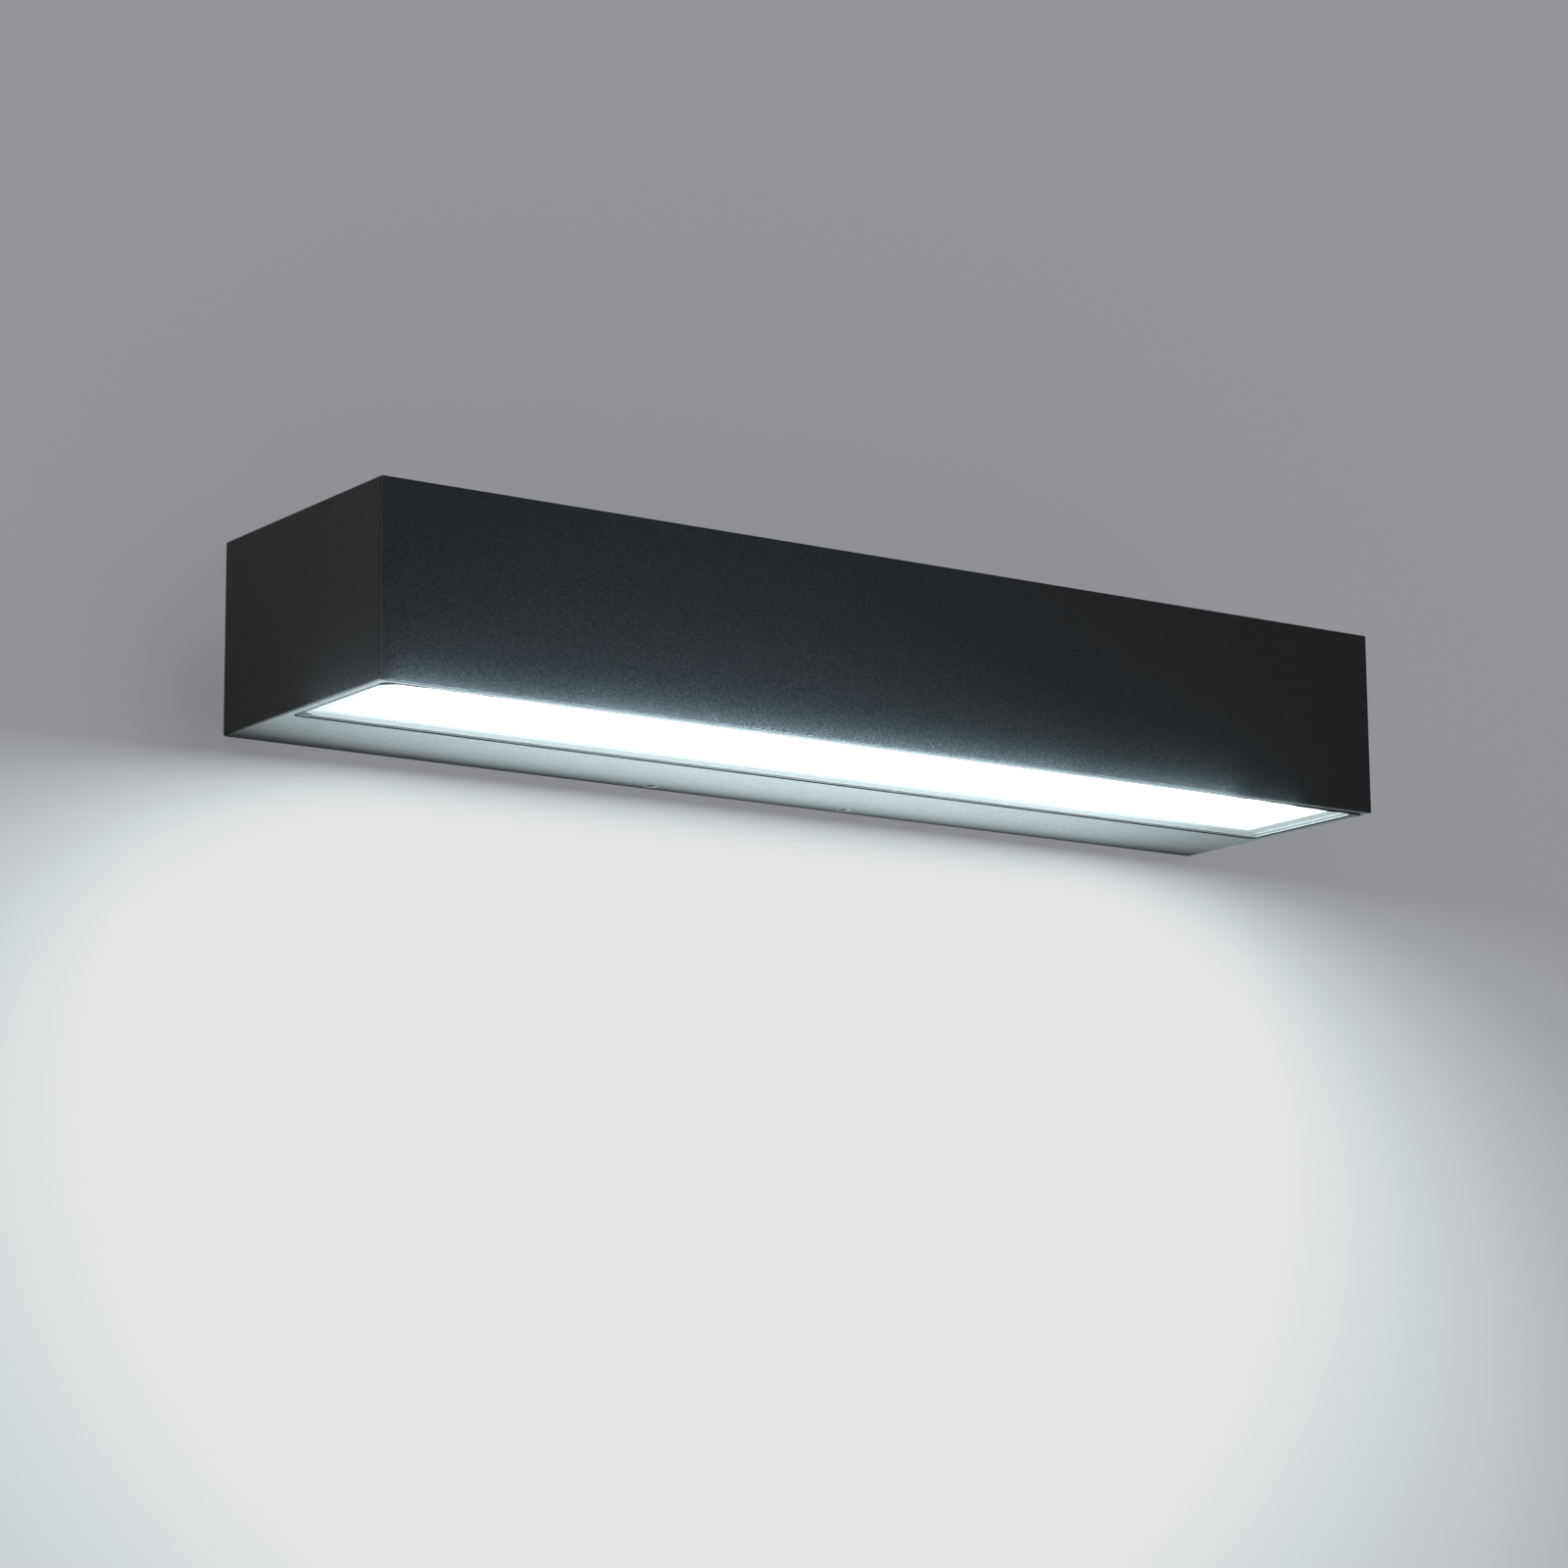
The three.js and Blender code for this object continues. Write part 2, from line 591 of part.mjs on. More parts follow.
/** The silicone seal: a bead round the pane's edge and a lip between pane and ledge. */
function paneSeal() {
  const xSeal = xIn - SEAT_GAP;
  const corner = PANE_CORNER + PANE_SIDE_GAP - SEAT_GAP;
  const outer = () => roundedRect(-xSeal, xSeal, yIn + SEAT_GAP, yRibFront - SEAT_GAP, corner);
  const zLip = zPaneTop + SEAT_GAP;
  const bead = outer();
  bead.holes.push(roundedRect(
    -xPane - SEAT_GAP, xPane + SEAT_GAP, yPaneFront - SEAT_GAP, yPaneRear + SEAT_GAP,
    PANE_CORNER + SEAT_GAP, THREE.Path,
  ));
  const lip = outer();
  lip.holes.push(roundedRect(
    -xWindow, xWindow, yWindowFront, yWindowRear, WINDOW_CORNER, THREE.Path,
  ));
  const nibCorners = [[1, -1], [-1, -1], [-1, 1]];
  const nibs = nibCorners.map(([right, back]) => barZ(
    SEAL_NIB_RADIUS, zBottom - SEAL_NIB_DROP, zPaneBottom + SEAT_GAP,
    right * (xSeal - SEAL_NIB_RADIUS),
    back < 0 ? yIn + SEAT_GAP + SEAL_NIB_RADIUS : yRibFront - SEAT_GAP - SEAL_NIB_RADIUS, SCREW_SIDES,
  ));
  const ring = riseZ(bead, zPaneBottom, zLip + PANE_SEAL_LIP)
    .add(riseZ(lip, zLip, zLip + PANE_SEAL_LIP));
  const clearOfPane = riseZ(
    roundedRect(
      -xPane - SEAT_GAP, xPane + SEAT_GAP, yPaneFront - SEAT_GAP, yPaneRear + SEAT_GAP,
      PANE_CORNER + SEAT_GAP,
    ),
    zPaneBottom - SEAT_GAP, zPaneTop,
  );
  return cut(join(ring, nibs), [clearOfPane]);
}

/** The opal diffuser: a shallow tray hung in the window by its rim. */
function diffuser() {
  const xBody = xWindow - SEAT_GAP;
  const yBody0 = yWindowFront + SEAT_GAP;
  const yBody1 = yWindowRear - SEAT_GAP;
  const radius = WINDOW_CORNER - SEAT_GAP;
  const body = riseZ(
    roundedRect(-xBody, xBody, yBody0, yBody1, radius), zDiffuserBottom, zDiffuserTop,
  );
  const reach = SEAT_GAP + DIFFUSER_RIM_WIDTH;
  const rim = riseZ(
    roundedRect(-xBody - reach, xBody + reach, yBody0 - reach, yBody1 + reach, radius + reach),
    zDiffuserRim, zDiffuserTop,
  );
  const hollow = riseZ(
    roundedRect(
      -xBody + DIFFUSER_WALL, xBody - DIFFUSER_WALL, yBody0 + DIFFUSER_WALL, yBody1 - DIFFUSER_WALL,
      FUSE_DEPTH,
    ),
    zDiffuserBottom + DIFFUSER_FACE, zDiffuserTop + OVERRUN,
  );
  return body.add(rim).subtract(hollow);
}

/** The white reflector: a foot on the diffuser's rim and walls that lean in to the board. */
function reflector() {
  const foot = (reach, z) => ({
    x: xWindow + reach, y0: yWindowFront - reach, y1: yWindowRear + reach, z,
  });
  const top = (reach, z) => ({
    x: xWindow - REFLECTOR_END_SLOPE + reach,
    y0: yWindowMid - BOARD_WIDTH / 2 - REFLECTOR_BOARD_GAP - reach,
    y1: yWindowMid + BOARD_WIDTH / 2 + REFLECTOR_BOARD_GAP + reach,
    z,
  });
  const zHead = zTrayBottom - SEAT_GAP;
  return ringLoft([
    foot(-REFLECTOR_SHEET, zReflectorBottom),
    foot(REFLECTOR_FOOT, zReflectorBottom),
    foot(REFLECTOR_FOOT, zReflectorBottom + REFLECTOR_SHEET),
    foot(0, zReflectorBottom + REFLECTOR_SHEET),
    top(REFLECTOR_SHEET, zHead),
    top(0, zHead),
  ]);
}

// Gear tray and what it carries

/** The bent tray that holds the lamp board below and the driver above. */
function gearTray() {
  const side = new THREE.Shape();
  side.moveTo(yTrayFront, zTrayBottom);
  side.lineTo(yFlangeRear, zTrayBottom);
  side.lineTo(yFlangeRear, zFlangeTop);
  side.lineTo(yFlangeFront, zFlangeTop);
  side.lineTo(yFlangeFront, zTrayTop);
  side.lineTo(yTrayFront, zTrayTop);
  side.closePath();
  const clear = SMALL_SCREW_RADIUS + SEAT_GAP;
  const low = zTrayBottom - OVERRUN;
  const high = zTrayTop + OVERRUN;
  const flatHoles = [
    ...trayBossPlaces.map((x) => barZ(clear, low, high, x, yTrayBoss)),
    ...boardScrewPlaces.map((x) => barZ(clear, low, high, x, yWindowMid)),
    ...driverScrewPlaces.map((x) => barZ(clear, low, high, x, yDriverMid)),
    barZ(LEAD_HOLE_RADIUS, low, high, xLeadHole, yWindowMid),
  ];
  const flangeHoles = [
    barY(
      EARTH_SCREW_RADIUS + SEAT_GAP, yFlangeFront - OVERRUN, yFlangeRear + OVERRUN,
      xEarth, zBlockMid,
    ),
    barY(clear, yFlangeFront - OVERRUN, yFlangeRear + OVERRUN, xBlockScrew, zBlockScrew),
  ];
  return cut(runX(side, -xTray, xTray), [...flatHoles, ...flangeHoles]);
}

/** The lamp board: a strip with a row of emitters and a lead connector under it. */
function lampBoard() {
  const strip = block(
    -xBoard, xBoard, yWindowMid - BOARD_WIDTH / 2, yWindowMid + BOARD_WIDTH / 2, zBoardBottom, zBoardTop,
  );
  const emitters = emitterPlaces.map((x) => block(
    x - EMITTER_LENGTH / 2, x + EMITTER_LENGTH / 2,
    yWindowMid - EMITTER_WIDTH / 2, yWindowMid + EMITTER_WIDTH / 2,
    zBoardBottom - EMITTER_HEIGHT, zBoardBottom + FUSE_DEPTH,
  ));
  const connector = block(
    xConnectorLeft, xConnectorRight,
    yWindowMid - CONNECTOR_WIDTH / 2, yWindowMid + CONNECTOR_WIDTH / 2,
    zBoardBottom - CONNECTOR_HEIGHT, zBoardBottom + FUSE_DEPTH,
  );
  const holes = boardScrewPlaces.map((x) => (
    barZ(SMALL_SCREW_RADIUS + SEAT_GAP, zBoardBottom - OVERRUN, zBoardTop + OVERRUN, x, yWindowMid)
  ));
  return cut(join(strip, [...emitters, connector]), holes);
}

/** The driver's lower case with a screw ear at each end. */
function driverCase() {
  const body = runX(
    roundedRect(yDriverFront, yDriverRear, zDriverBottom, zDriverSplit, DRIVER_CORNER),
    xDriverLeft, xDriverRight,
  );
  const ears = riseZ(
    roundedRect(
      xDriverLeft - DRIVER_EAR_LENGTH, xDriverRight + DRIVER_EAR_LENGTH,
      yDriverMid - driverEarHalf, yDriverMid + driverEarHalf, DRIVER_CORNER,
    ),
    zDriverBottom, zDriverBottom + DRIVER_EAR_THICKNESS,
  );
  const holes = driverScrewPlaces.map((x) => barZ(
    SMALL_SCREW_RADIUS + SEAT_GAP, zDriverBottom - OVERRUN,
    zDriverBottom + DRIVER_EAR_THICKNESS + OVERRUN, x, yDriverMid,
  ));
  return cut(body.add(ears), holes);
}

/** The driver's snap-on lid, a little smaller all round. */
function driverLid() {
  const outline = roundedRect(
    xDriverLeft + DRIVER_LID_INSET, xDriverRight - DRIVER_LID_INSET,
    yDriverFront + DRIVER_LID_INSET, yDriverRear - DRIVER_LID_INSET, DRIVER_CORNER,
  );
  return riseZ(outline, zDriverSplit + SEAT_GAP, zDriverTop, DRIVER_LID_INSET);
}

/** The terminal block: a wire bore up through each pole and a screw tower at its rear. */
function terminalBlock() {
  const body = block(
    -blockLength / 2, blockLength / 2, yBlockFront, yBlockRear, zBlockBottom, zBlockTop,
  );
  const towers = polePlaces.map((x) => (
    barY(POLE_TOWER_RADIUS, yBlockRear - FUSE_DEPTH, yBlockRear + POLE_TOWER_HEIGHT, x, zBlockMid)
  ));
  const bores = polePlaces.map((x) => (
    barZ(POLE_BORE_RADIUS, zBlockBottom - OVERRUN, zBlockTop + OVERRUN, x, yWire)
  ));
  const wells = polePlaces.map((x) => (
    barY(POLE_SCREW_RADIUS + SEAT_GAP, yWire, yBlockRear + POLE_TOWER_HEIGHT + OVERRUN, x, zBlockMid)
  ));
  const fixing = barY(
    SMALL_SCREW_RADIUS + SEAT_GAP, yBlockFront - OVERRUN, yBlockRear + OVERRUN, xBlockScrew, zBlockScrew,
  );
  return cut(join(body, towers), [...bores, ...wells, fixing]);
}

/** One clamp screw in its tower. */
function poleScrew(x) {
  const face = yBlockRear + POLE_TOWER_HEIGHT - SEAT_GAP;
  const body = barY(POLE_SCREW_RADIUS, yWire + POLE_BORE_RADIUS, face, x, zBlockMid);
  const slot = block(
    x - POLE_SCREW_RADIUS - OVERRUN, x + POLE_SCREW_RADIUS + OVERRUN,
    face - HEAD_DRIVE_DEPTH, face + OVERRUN, zBlockMid - SEAT_GAP, zBlockMid + SEAT_GAP,
  );
  return body.subtract(slot);
}

// Rear cover

/** The flat cover that closes the gear space behind its seal. */
function rearCover() {
  const plate = runY(
    roundedRect(-xCover, xCover, zCoverBottom, zCoverTop, COVER_CORNER), yCoverFront, yCoverRear,
  );
  const holes = coverScrewPlaces.map(([x, z]) => (
    barY(SMALL_SCREW_RADIUS + SEAT_GAP, yCoverFront - OVERRUN, yCoverRear + OVERRUN, x, z)
  ));
  const glandHole = barY(
    GLAND_THREAD_RADIUS + SEAT_GAP, yCoverFront - OVERRUN, yCoverRear + OVERRUN,
    -GLAND_OFFSET, 0, BORE_SIDES,
  );
  return cut(plate, [...holes, glandHole]);
}

/** The cover's seal, a flat frame with a hole for each screw. */
function coverSeal() {
  const frame = roundedRect(-xCover, xCover, zCoverBottom, zCoverTop, COVER_CORNER);
  frame.holes.push(roundedRect(
    -xOpening, xOpening, zFloor + SHOULDER_WIDTH, zTopIn - SHOULDER_WIDTH, COVER_CORNER, THREE.Path,
  ));
  const holes = coverScrewPlaces.map(([x, z]) => (
    barY(SMALL_SCREW_RADIUS + SEAT_GAP, ySealFront - OVERRUN, ySealRear + OVERRUN, x, z)
  ));
  return cut(runY(frame, ySealFront, ySealRear), holes);
}

// Cable gland

/** The gland's body: a threaded tube with a hexagon outside the cover. */
function glandBody() {
  const tube = revolveY([
    [GLAND_BORE_RADIUS, yGlandFront],
    [GLAND_THREAD_RADIUS, yGlandFront],
    [GLAND_THREAD_RADIUS, yGlandHexRear],
    [GLAND_THREAD_RADIUS - SEAT_GAP, yGlandRear],
    [GLAND_BORE_RADIUS, yGlandRear],
    [GLAND_BORE_RADIUS, yGlandFront],
  ], -GLAND_OFFSET, 0);
  const hexagon = barY(
    GLAND_HEX_RADIUS, yGlandHexFront, yGlandHexRear, -GLAND_OFFSET, 0, HEX_SIDES,
  );
  const bore = barY(
    GLAND_BORE_RADIUS, yGlandHexFront - OVERRUN, yGlandHexRear + OVERRUN,
    -GLAND_OFFSET, 0, BORE_SIDES,
  );
  return tube.add(hexagon.subtract(bore));
}

/** The locknut that draws the gland tight from inside the cover. */
function glandLocknut() {
  const front = yCoverFront - SEAT_GAP - GLAND_LOCKNUT_THICKNESS;
  const rear = yCoverFront - SEAT_GAP;
  const nut = barY(GLAND_HEX_RADIUS, front, rear, -GLAND_OFFSET, 0, HEX_SIDES);
  const bore = barY(
    GLAND_THREAD_RADIUS + SEAT_GAP, front - OVERRUN, rear + OVERRUN, -GLAND_OFFSET, 0, BORE_SIDES,
  );
  return nut.subtract(bore);
}

/** The rubber ring that grips the cable. */
function glandInsert() {
  return revolveY([
    [GLAND_INSERT_BORE_RADIUS, yGlandRear + SEAT_GAP],
    [GLAND_THREAD_RADIUS - SEAT_GAP, yGlandRear + SEAT_GAP],
    [GLAND_THREAD_RADIUS - 2 * SEAT_GAP, yInsertRear],
    [GLAND_INSERT_BORE_RADIUS, yInsertRear],
    [GLAND_INSERT_BORE_RADIUS, yGlandRear + SEAT_GAP],
  ], -GLAND_OFFSET, 0);
}

/** The dome nut that closes on the rubber ring, grooved for the fingers. */
function glandNut() {
  const inner = GLAND_THREAD_RADIUS + SEAT_GAP;
  const front = yGlandHexRear + SEAT_GAP;
  const shell = revolveY([
    [inner, front],
    [GLAND_NUT_RADIUS, front],
    [GLAND_NUT_RADIUS, yInsertRear - GLAND_NUT_WALL],
    [GLAND_NUT_RADIUS - GLAND_NUT_WALL, yNutRear],
    [GLAND_INSERT_BORE_RADIUS + SEAT_GAP, yNutRear],
    [GLAND_INSERT_BORE_RADIUS + SEAT_GAP, yInsertRear + SEAT_GAP],
    [inner, yInsertRear + SEAT_GAP],
    [inner, front],
  ], -GLAND_OFFSET, 0);
  const grips = Array.from({ length: GLAND_GRIP_COUNT }, (_, i) => {
    const angle = (i / GLAND_GRIP_COUNT) * Math.PI * 2;
    const x = -GLAND_OFFSET + Math.cos(angle) * GLAND_NUT_RADIUS;
    const z = Math.sin(angle) * GLAND_NUT_RADIUS;
    return barY(GLAND_GRIP_RADIUS, front - OVERRUN, yNutRear + OVERRUN, x, z, HEX_SIDES);
  });
  return cut(shell, grips);
}

// Wall bracket and its locking screws

/** The bent strap: a plate on the wall, a lip that carries the housing, two lower ears. */
function wallBracket() {
  const outer = BRACKET_BEND_RADIUS;
  const inner = outer - BRACKET_SHEET;
  const upper = zBracketTop - outer;
  const lower = zBracketBottom + outer;
  const side = new THREE.Shape();
  side.moveTo(-BRACKET_REACH, zBracketTop - BRACKET_SHEET);
  side.lineTo(-BRACKET_REACH, zBracketTop);
  side.absarc(-outer, upper, outer, Math.PI / 2, 0, true);
  side.absarc(-outer, lower, outer, 0, -Math.PI / 2, true);
  side.lineTo(-BRACKET_REACH, zBracketBottom);
  side.lineTo(-BRACKET_REACH, zBracketBottom + BRACKET_SHEET);
  side.absarc(-outer, lower, inner, -Math.PI / 2, 0);
  side.absarc(-outer, upper, inner, 0, Math.PI / 2);
  side.closePath();
  const strap = runX(side, -BRACKET_HALF_LENGTH, BRACKET_HALF_LENGTH);
  const earInner = SET_SCREW_OFFSET - EAR_LENGTH / 2;
  const earOuter = SET_SCREW_OFFSET + EAR_LENGTH / 2;
  const below = zBracketBottom - OVERRUN;
  const above = zBracketBottom + BRACKET_BEND_RADIUS;
  const notches = [
    block(-earInner, earInner, -BRACKET_REACH - OVERRUN, OVERRUN, below, above),
    block(earOuter, BRACKET_HALF_LENGTH + OVERRUN, -BRACKET_REACH - OVERRUN, OVERRUN, below, above),
    block(-BRACKET_HALF_LENGTH - OVERRUN, -earOuter, -BRACKET_REACH - OVERRUN, OVERRUN, below, above),
  ];
  return cut(strap, [...notches, ...bracketWindows(), ...bracketSlots()]);
}

/** Two windows for the supply cable, either side of the middle web. */
function bracketWindows() {
  return [-GLAND_OFFSET, GLAND_OFFSET].map((x) => runY(
    roundedRect(
      x - CABLE_WINDOW_LENGTH / 2, x + CABLE_WINDOW_LENGTH / 2,
      -CABLE_WINDOW_HEIGHT / 2, CABLE_WINDOW_HEIGHT / 2, CABLE_WINDOW_CORNER,
    ),
    -BRACKET_SHEET - OVERRUN, OVERRUN,
  ));
}

/** Level slots for the wall screws near the ends, and short upright ones on the web. */
function bracketSlots() {
  const reach = BRACKET_HALF_LENGTH - SLOT_END_SPACE;
  const level = [-reach, reach].map((x) => runY(
    roundedRect(
      x - SLOT_LENGTH / 2, x + SLOT_LENGTH / 2, zBracketMid - SLOT_RADIUS, zBracketMid + SLOT_RADIUS,
      SLOT_RADIUS - WELD_DISTANCE,
    ),
    -BRACKET_SHEET - OVERRUN, OVERRUN,
  ));
  const rise = CABLE_WINDOW_HEIGHT / 2 + SLOT_RADIUS;
  const upright = [-rise, rise].map((z) => runY(
    roundedRect(
      -STIFFENER_SLOT_LENGTH / 2, STIFFENER_SLOT_LENGTH / 2, z - SLOT_RADIUS, z + SLOT_RADIUS,
      SLOT_RADIUS - WELD_DISTANCE,
    ),
    -BRACKET_SHEET - OVERRUN, OVERRUN,
  ));
  return [...level, ...upright];
}

/** A set screw with a hexagon socket that bears on the bracket's ear from below. */
function setScrew(x) {
  const low = zBottom + SET_SCREW_SUNK;
  const body = barZ(SET_SCREW_RADIUS, low, zPad, x, ySetScrew);
  const socket = barZ(
    SET_SCREW_SOCKET_RADIUS, low - OVERRUN, low + SET_SCREW_SOCKET_DEPTH, x, ySetScrew, HEX_SIDES,
  );
  return body.subtract(socket);
}

// Inner leads

/** A round lead along a smooth curve through the given places. */
function lead(places) {
  const points = places.map(([x, y, z]) => new THREE.Vector3(x, y, z));
  const curve = new THREE.CatmullRomCurve3(points, false, 'centripetal');
  const ring = new THREE.Shape();
  for (let side = 0; side < LEAD_SIDES; side += 1) {
    const angle = (side / LEAD_SIDES) * Math.PI * 2;
    const corner = [LEAD_RADIUS * Math.cos(angle), LEAD_RADIUS * Math.sin(angle)];
    if (side === 0) ring.moveTo(...corner);
    else ring.lineTo(...corner);
  }
  ring.closePath();
  return solid(new THREE.ExtrudeGeometry(ring, {
    steps: Math.ceil(curve.getLength() / LEAD_STEP), extrudePath: curve, bevelEnabled: false,
  }));
}

/** A lead from the driver's output end down through the tray to the board's connector. */
function outputLead(sideways) {
  const y = yWindowMid + sideways;
  const zExit = zDriverBottom + LEAD_EXIT_HEIGHT;
  const zPlug = zBoardBottom - CONNECTOR_HEIGHT / 2;
  return lead([
    [xDriverRight + SEAT_GAP, y, zExit],
    [xDriverRight + LEAD_BEND, y, zExit],
    [xLeadHole - LEAD_BEND, y, zExit],
    [xLeadHole, y, zExit - LEAD_BEND],
    [xLeadHole, y, zTrayBottom],
    [xLeadHole - LEAD_RADIUS / 2, y, zPlug + LEAD_RADIUS],
    [xLeadHole - LEAD_BEND + LEAD_RADIUS, y, zPlug],
    [xConnectorRight + SEAT_GAP, y, zPlug],
  ]);
}

/** A lead from one pole of the block over the flange to the driver's input end. */
function inputLead(pole, sideways) {
  const x = polePlaces[pole];
  const y = yDriverMid + sideways;
  const zExit = zDriverBottom + LEAD_EXIT_HEIGHT;
  const zArch = (zFlangeTop + zTopIn) / 2;
  return lead([
    [x, yWire, zBlockTop + SEAT_GAP],
    [x, yWire, (zBlockTop + zArch) / 2],
    [x, yFlangeRear, zArch],
    [x, yFlangeFront - LEAD_BEND, zArch - LEAD_BEND],
    [x, (yFlangeFront + y) / 2, zExit + LEAD_BEND / 2],
    [(x + xDriverLeft) / 2, y, zExit],
    [xDriverLeft - LEAD_BEND, y, zExit],
    [xDriverLeft - SEAT_GAP, y, zExit],
  ]);
}

/** The earth lead from the first pole to its ring tag under the earth screw. */
function earthLead() {
  const x = polePlaces[0];
  const yTag = yFlangeRear + SEAT_GAP;
  const yLead = yTag + EARTH_TAG_THICKNESS / 2;
  const zArch = (zBlockTop + zTopIn) / 2;
  const zShoulder = (zBlockTop + zArch) / 2;
  const tag = barY(
    EARTH_TAG_RADIUS, yTag, yTag + EARTH_TAG_THICKNESS, xEarth, zBlockMid, BORE_SIDES,
  );
  const hole = barY(
    EARTH_SCREW_RADIUS + SEAT_GAP, yTag - OVERRUN, yTag + EARTH_TAG_THICKNESS + OVERRUN,
    xEarth, zBlockMid,
  );
  const wire = lead([
    [x, yWire, zBlockTop + SEAT_GAP],
    [x, yWire, zShoulder],
    [(x + xEarth) / 2, (yWire + yLead) / 2 + LEAD_RADIUS, zArch],
    [xEarth, yLead + LEAD_RADIUS, zShoulder],
    [xEarth, yLead + LEAD_RADIUS, zBlockMid + EARTH_TAG_RADIUS + LEAD_BEND / 2],
    [xEarth, yLead + LEAD_RADIUS, zBlockMid + EARTH_HEAD_RADIUS + SEAT_GAP],
  ]);
  return tag.add(wire).subtract(hole);
}

// Finishes
const blackPowder = { color: 0x1b1d1f, roughness: 0.62, metalness: 0.3 };
const bareAluminium = { color: 0xa9abad, roughness: 0.45, metalness: 0.9 };
const zincSteel = { color: 0x9c9fa0, roughness: 0.4, metalness: 0.9 };
const clearGlass = { color: 0xcfdedb, roughness: 0.05, metalness: 0, transparent: true, opacity: 0.35 };
const blackRubber = { color: 0x121212, roughness: 0.8, metalness: 0 };
const opalPlastic = { color: 0xf6f8fa, roughness: 0.5, metalness: 0 };
const whitePaint = { color: 0xf0f0ee, roughness: 0.5, metalness: 0 };
const blackPlastic = { color: 0x1d1d1e, roughness: 0.5, metalness: 0 };
const whitePlastic = { color: 0xe4e2dc, roughness: 0.5, metalness: 0 };
const redSilicone = { color: 0x9a1d18, roughness: 0.6, metalness: 0 };
const blueInsulation = { color: 0x1e4fa0, roughness: 0.5, metalness: 0 };
const brownInsulation = { color: 0x5a3420, roughness: 0.5, metalness: 0 };
const greenInsulation = { color: 0x4f8a2e, roughness: 0.5, metalness: 0 };

const light = new THREE.Group();

/** Adds one named piece to the light. */
function place(name, body, finish) {
  const mesh = new THREE.Mesh(surface(body), new THREE.MeshStandardMaterial(finish));
  mesh.name = name;
  light.add(mesh);
}

place('wall_bracket', wallBracket(), zincSteel);
place('housing', housing(), blackPowder);
place('pane', pane(), clearGlass);
place('pane_seal', paneSeal(), blackRubber);
place('opal_diffuser', diffuser(), opalPlastic);
place('reflector', reflector(), whitePaint);
place('gear_tray', gearTray(), bareAluminium);
place('lamp_board', lampBoard(), whitePaint);
place('driver_case', driverCase(), blackPlastic);
place('driver_lid', driverLid(), blackPlastic);
place('terminal_block', terminalBlock(), whitePlastic);
place('rear_cover', rearCover(), bareAluminium);
place('cover_seal', coverSeal(), blackRubber);
place('gland_body', glandBody(), blackPlastic);
place('gland_locknut', glandLocknut(), blackPlastic);
place('gland_insert', glandInsert(), blackRubber);
place('gland_nut', glandNut(), blackPlastic);
place('lead_live', inputLead(1, -LEAD_SPACING * 2), brownInsulation);
place('lead_neutral', inputLead(2, LEAD_SPACING * 2), blueInsulation);
place('lead_earth', earthLead(), greenInsulation);
place('lead_positive', outputLead(LEAD_SPACING), redSilicone);
place('lead_negative', outputLead(-LEAD_SPACING), blackRubber);

polePlaces.forEach((x, i) => place(`pole_screw_${i + 1}`, poleScrew(x), zincSteel));
place('block_screw', panScrewY(
  xBlockScrew, yBlockRear + SEAT_GAP, zBlockScrew, BLOCK_DEPTH + TRAY_SHEET,
  SMALL_SCREW_RADIUS, SMALL_HEAD_RADIUS, SMALL_HEAD_HEIGHT,
), zincSteel);
place('earth_screw', panScrewY(
  xEarth, yFlangeRear + 2 * SEAT_GAP + EARTH_TAG_THICKNESS, zBlockMid, EARTH_SCREW_LENGTH,
  EARTH_SCREW_RADIUS, EARTH_HEAD_RADIUS, EARTH_HEAD_HEIGHT,
), zincSteel);
coverScrewPlaces.forEach(([x, z], i) => place(`cover_screw_${i + 1}`, panScrewY(
  x, yCoverRear + SEAT_GAP, z, COVER_SCREW_LENGTH,
  SMALL_SCREW_RADIUS, SMALL_HEAD_RADIUS, SMALL_HEAD_HEIGHT,
), zincSteel));
trayBossPlaces.forEach((x, i) => place(
  `tray_screw_${i + 1}`, panScrewZ(x, yTrayBoss, zTrayTop + SEAT_GAP, TRAY_SCREW_LENGTH), zincSteel,
));
boardScrewPlaces.forEach((x, i) => place(
  `board_screw_${i + 1}`,
  panScrewZ(
    x, yWindowMid, zBoardBottom - SEAT_GAP, BOARD_THICKNESS + TRAY_SHEET + SEAT_GAP,
    SMALL_SCREW_RADIUS, true,
  ),
  zincSteel,
));
driverScrewPlaces.forEach((x, i) => place(
  `driver_screw_${i + 1}`,
  panScrewZ(
    x, yDriverMid, zDriverBottom + DRIVER_EAR_THICKNESS + SEAT_GAP, DRIVER_EAR_THICKNESS + TRAY_SHEET,
  ),
  zincSteel,
));
setScrewPlaces.forEach((x) => place(`set_screw_${x < 0 ? 'left' : 'right'}`, setScrew(x), zincSteel));

export default light;
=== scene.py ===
"""The looks of a long cast wall light that hangs on a steel bracket and shines down.

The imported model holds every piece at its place. This script gives each one its finish, and
replaces the pieces whose fine shape shows: rounded edges, threads, drive recesses, the pane's
polished arris and the hand-laid silicone bead. Lengths are in metres, +X to the right as seen
from the front, +Y into the wall and +Z up.
"""

import json
import logging
import math
from dataclasses import dataclass, field
from enum import Enum
from typing import Sequence

import bmesh
import bpy
import numpy as np
from mathutils import Matrix, Vector

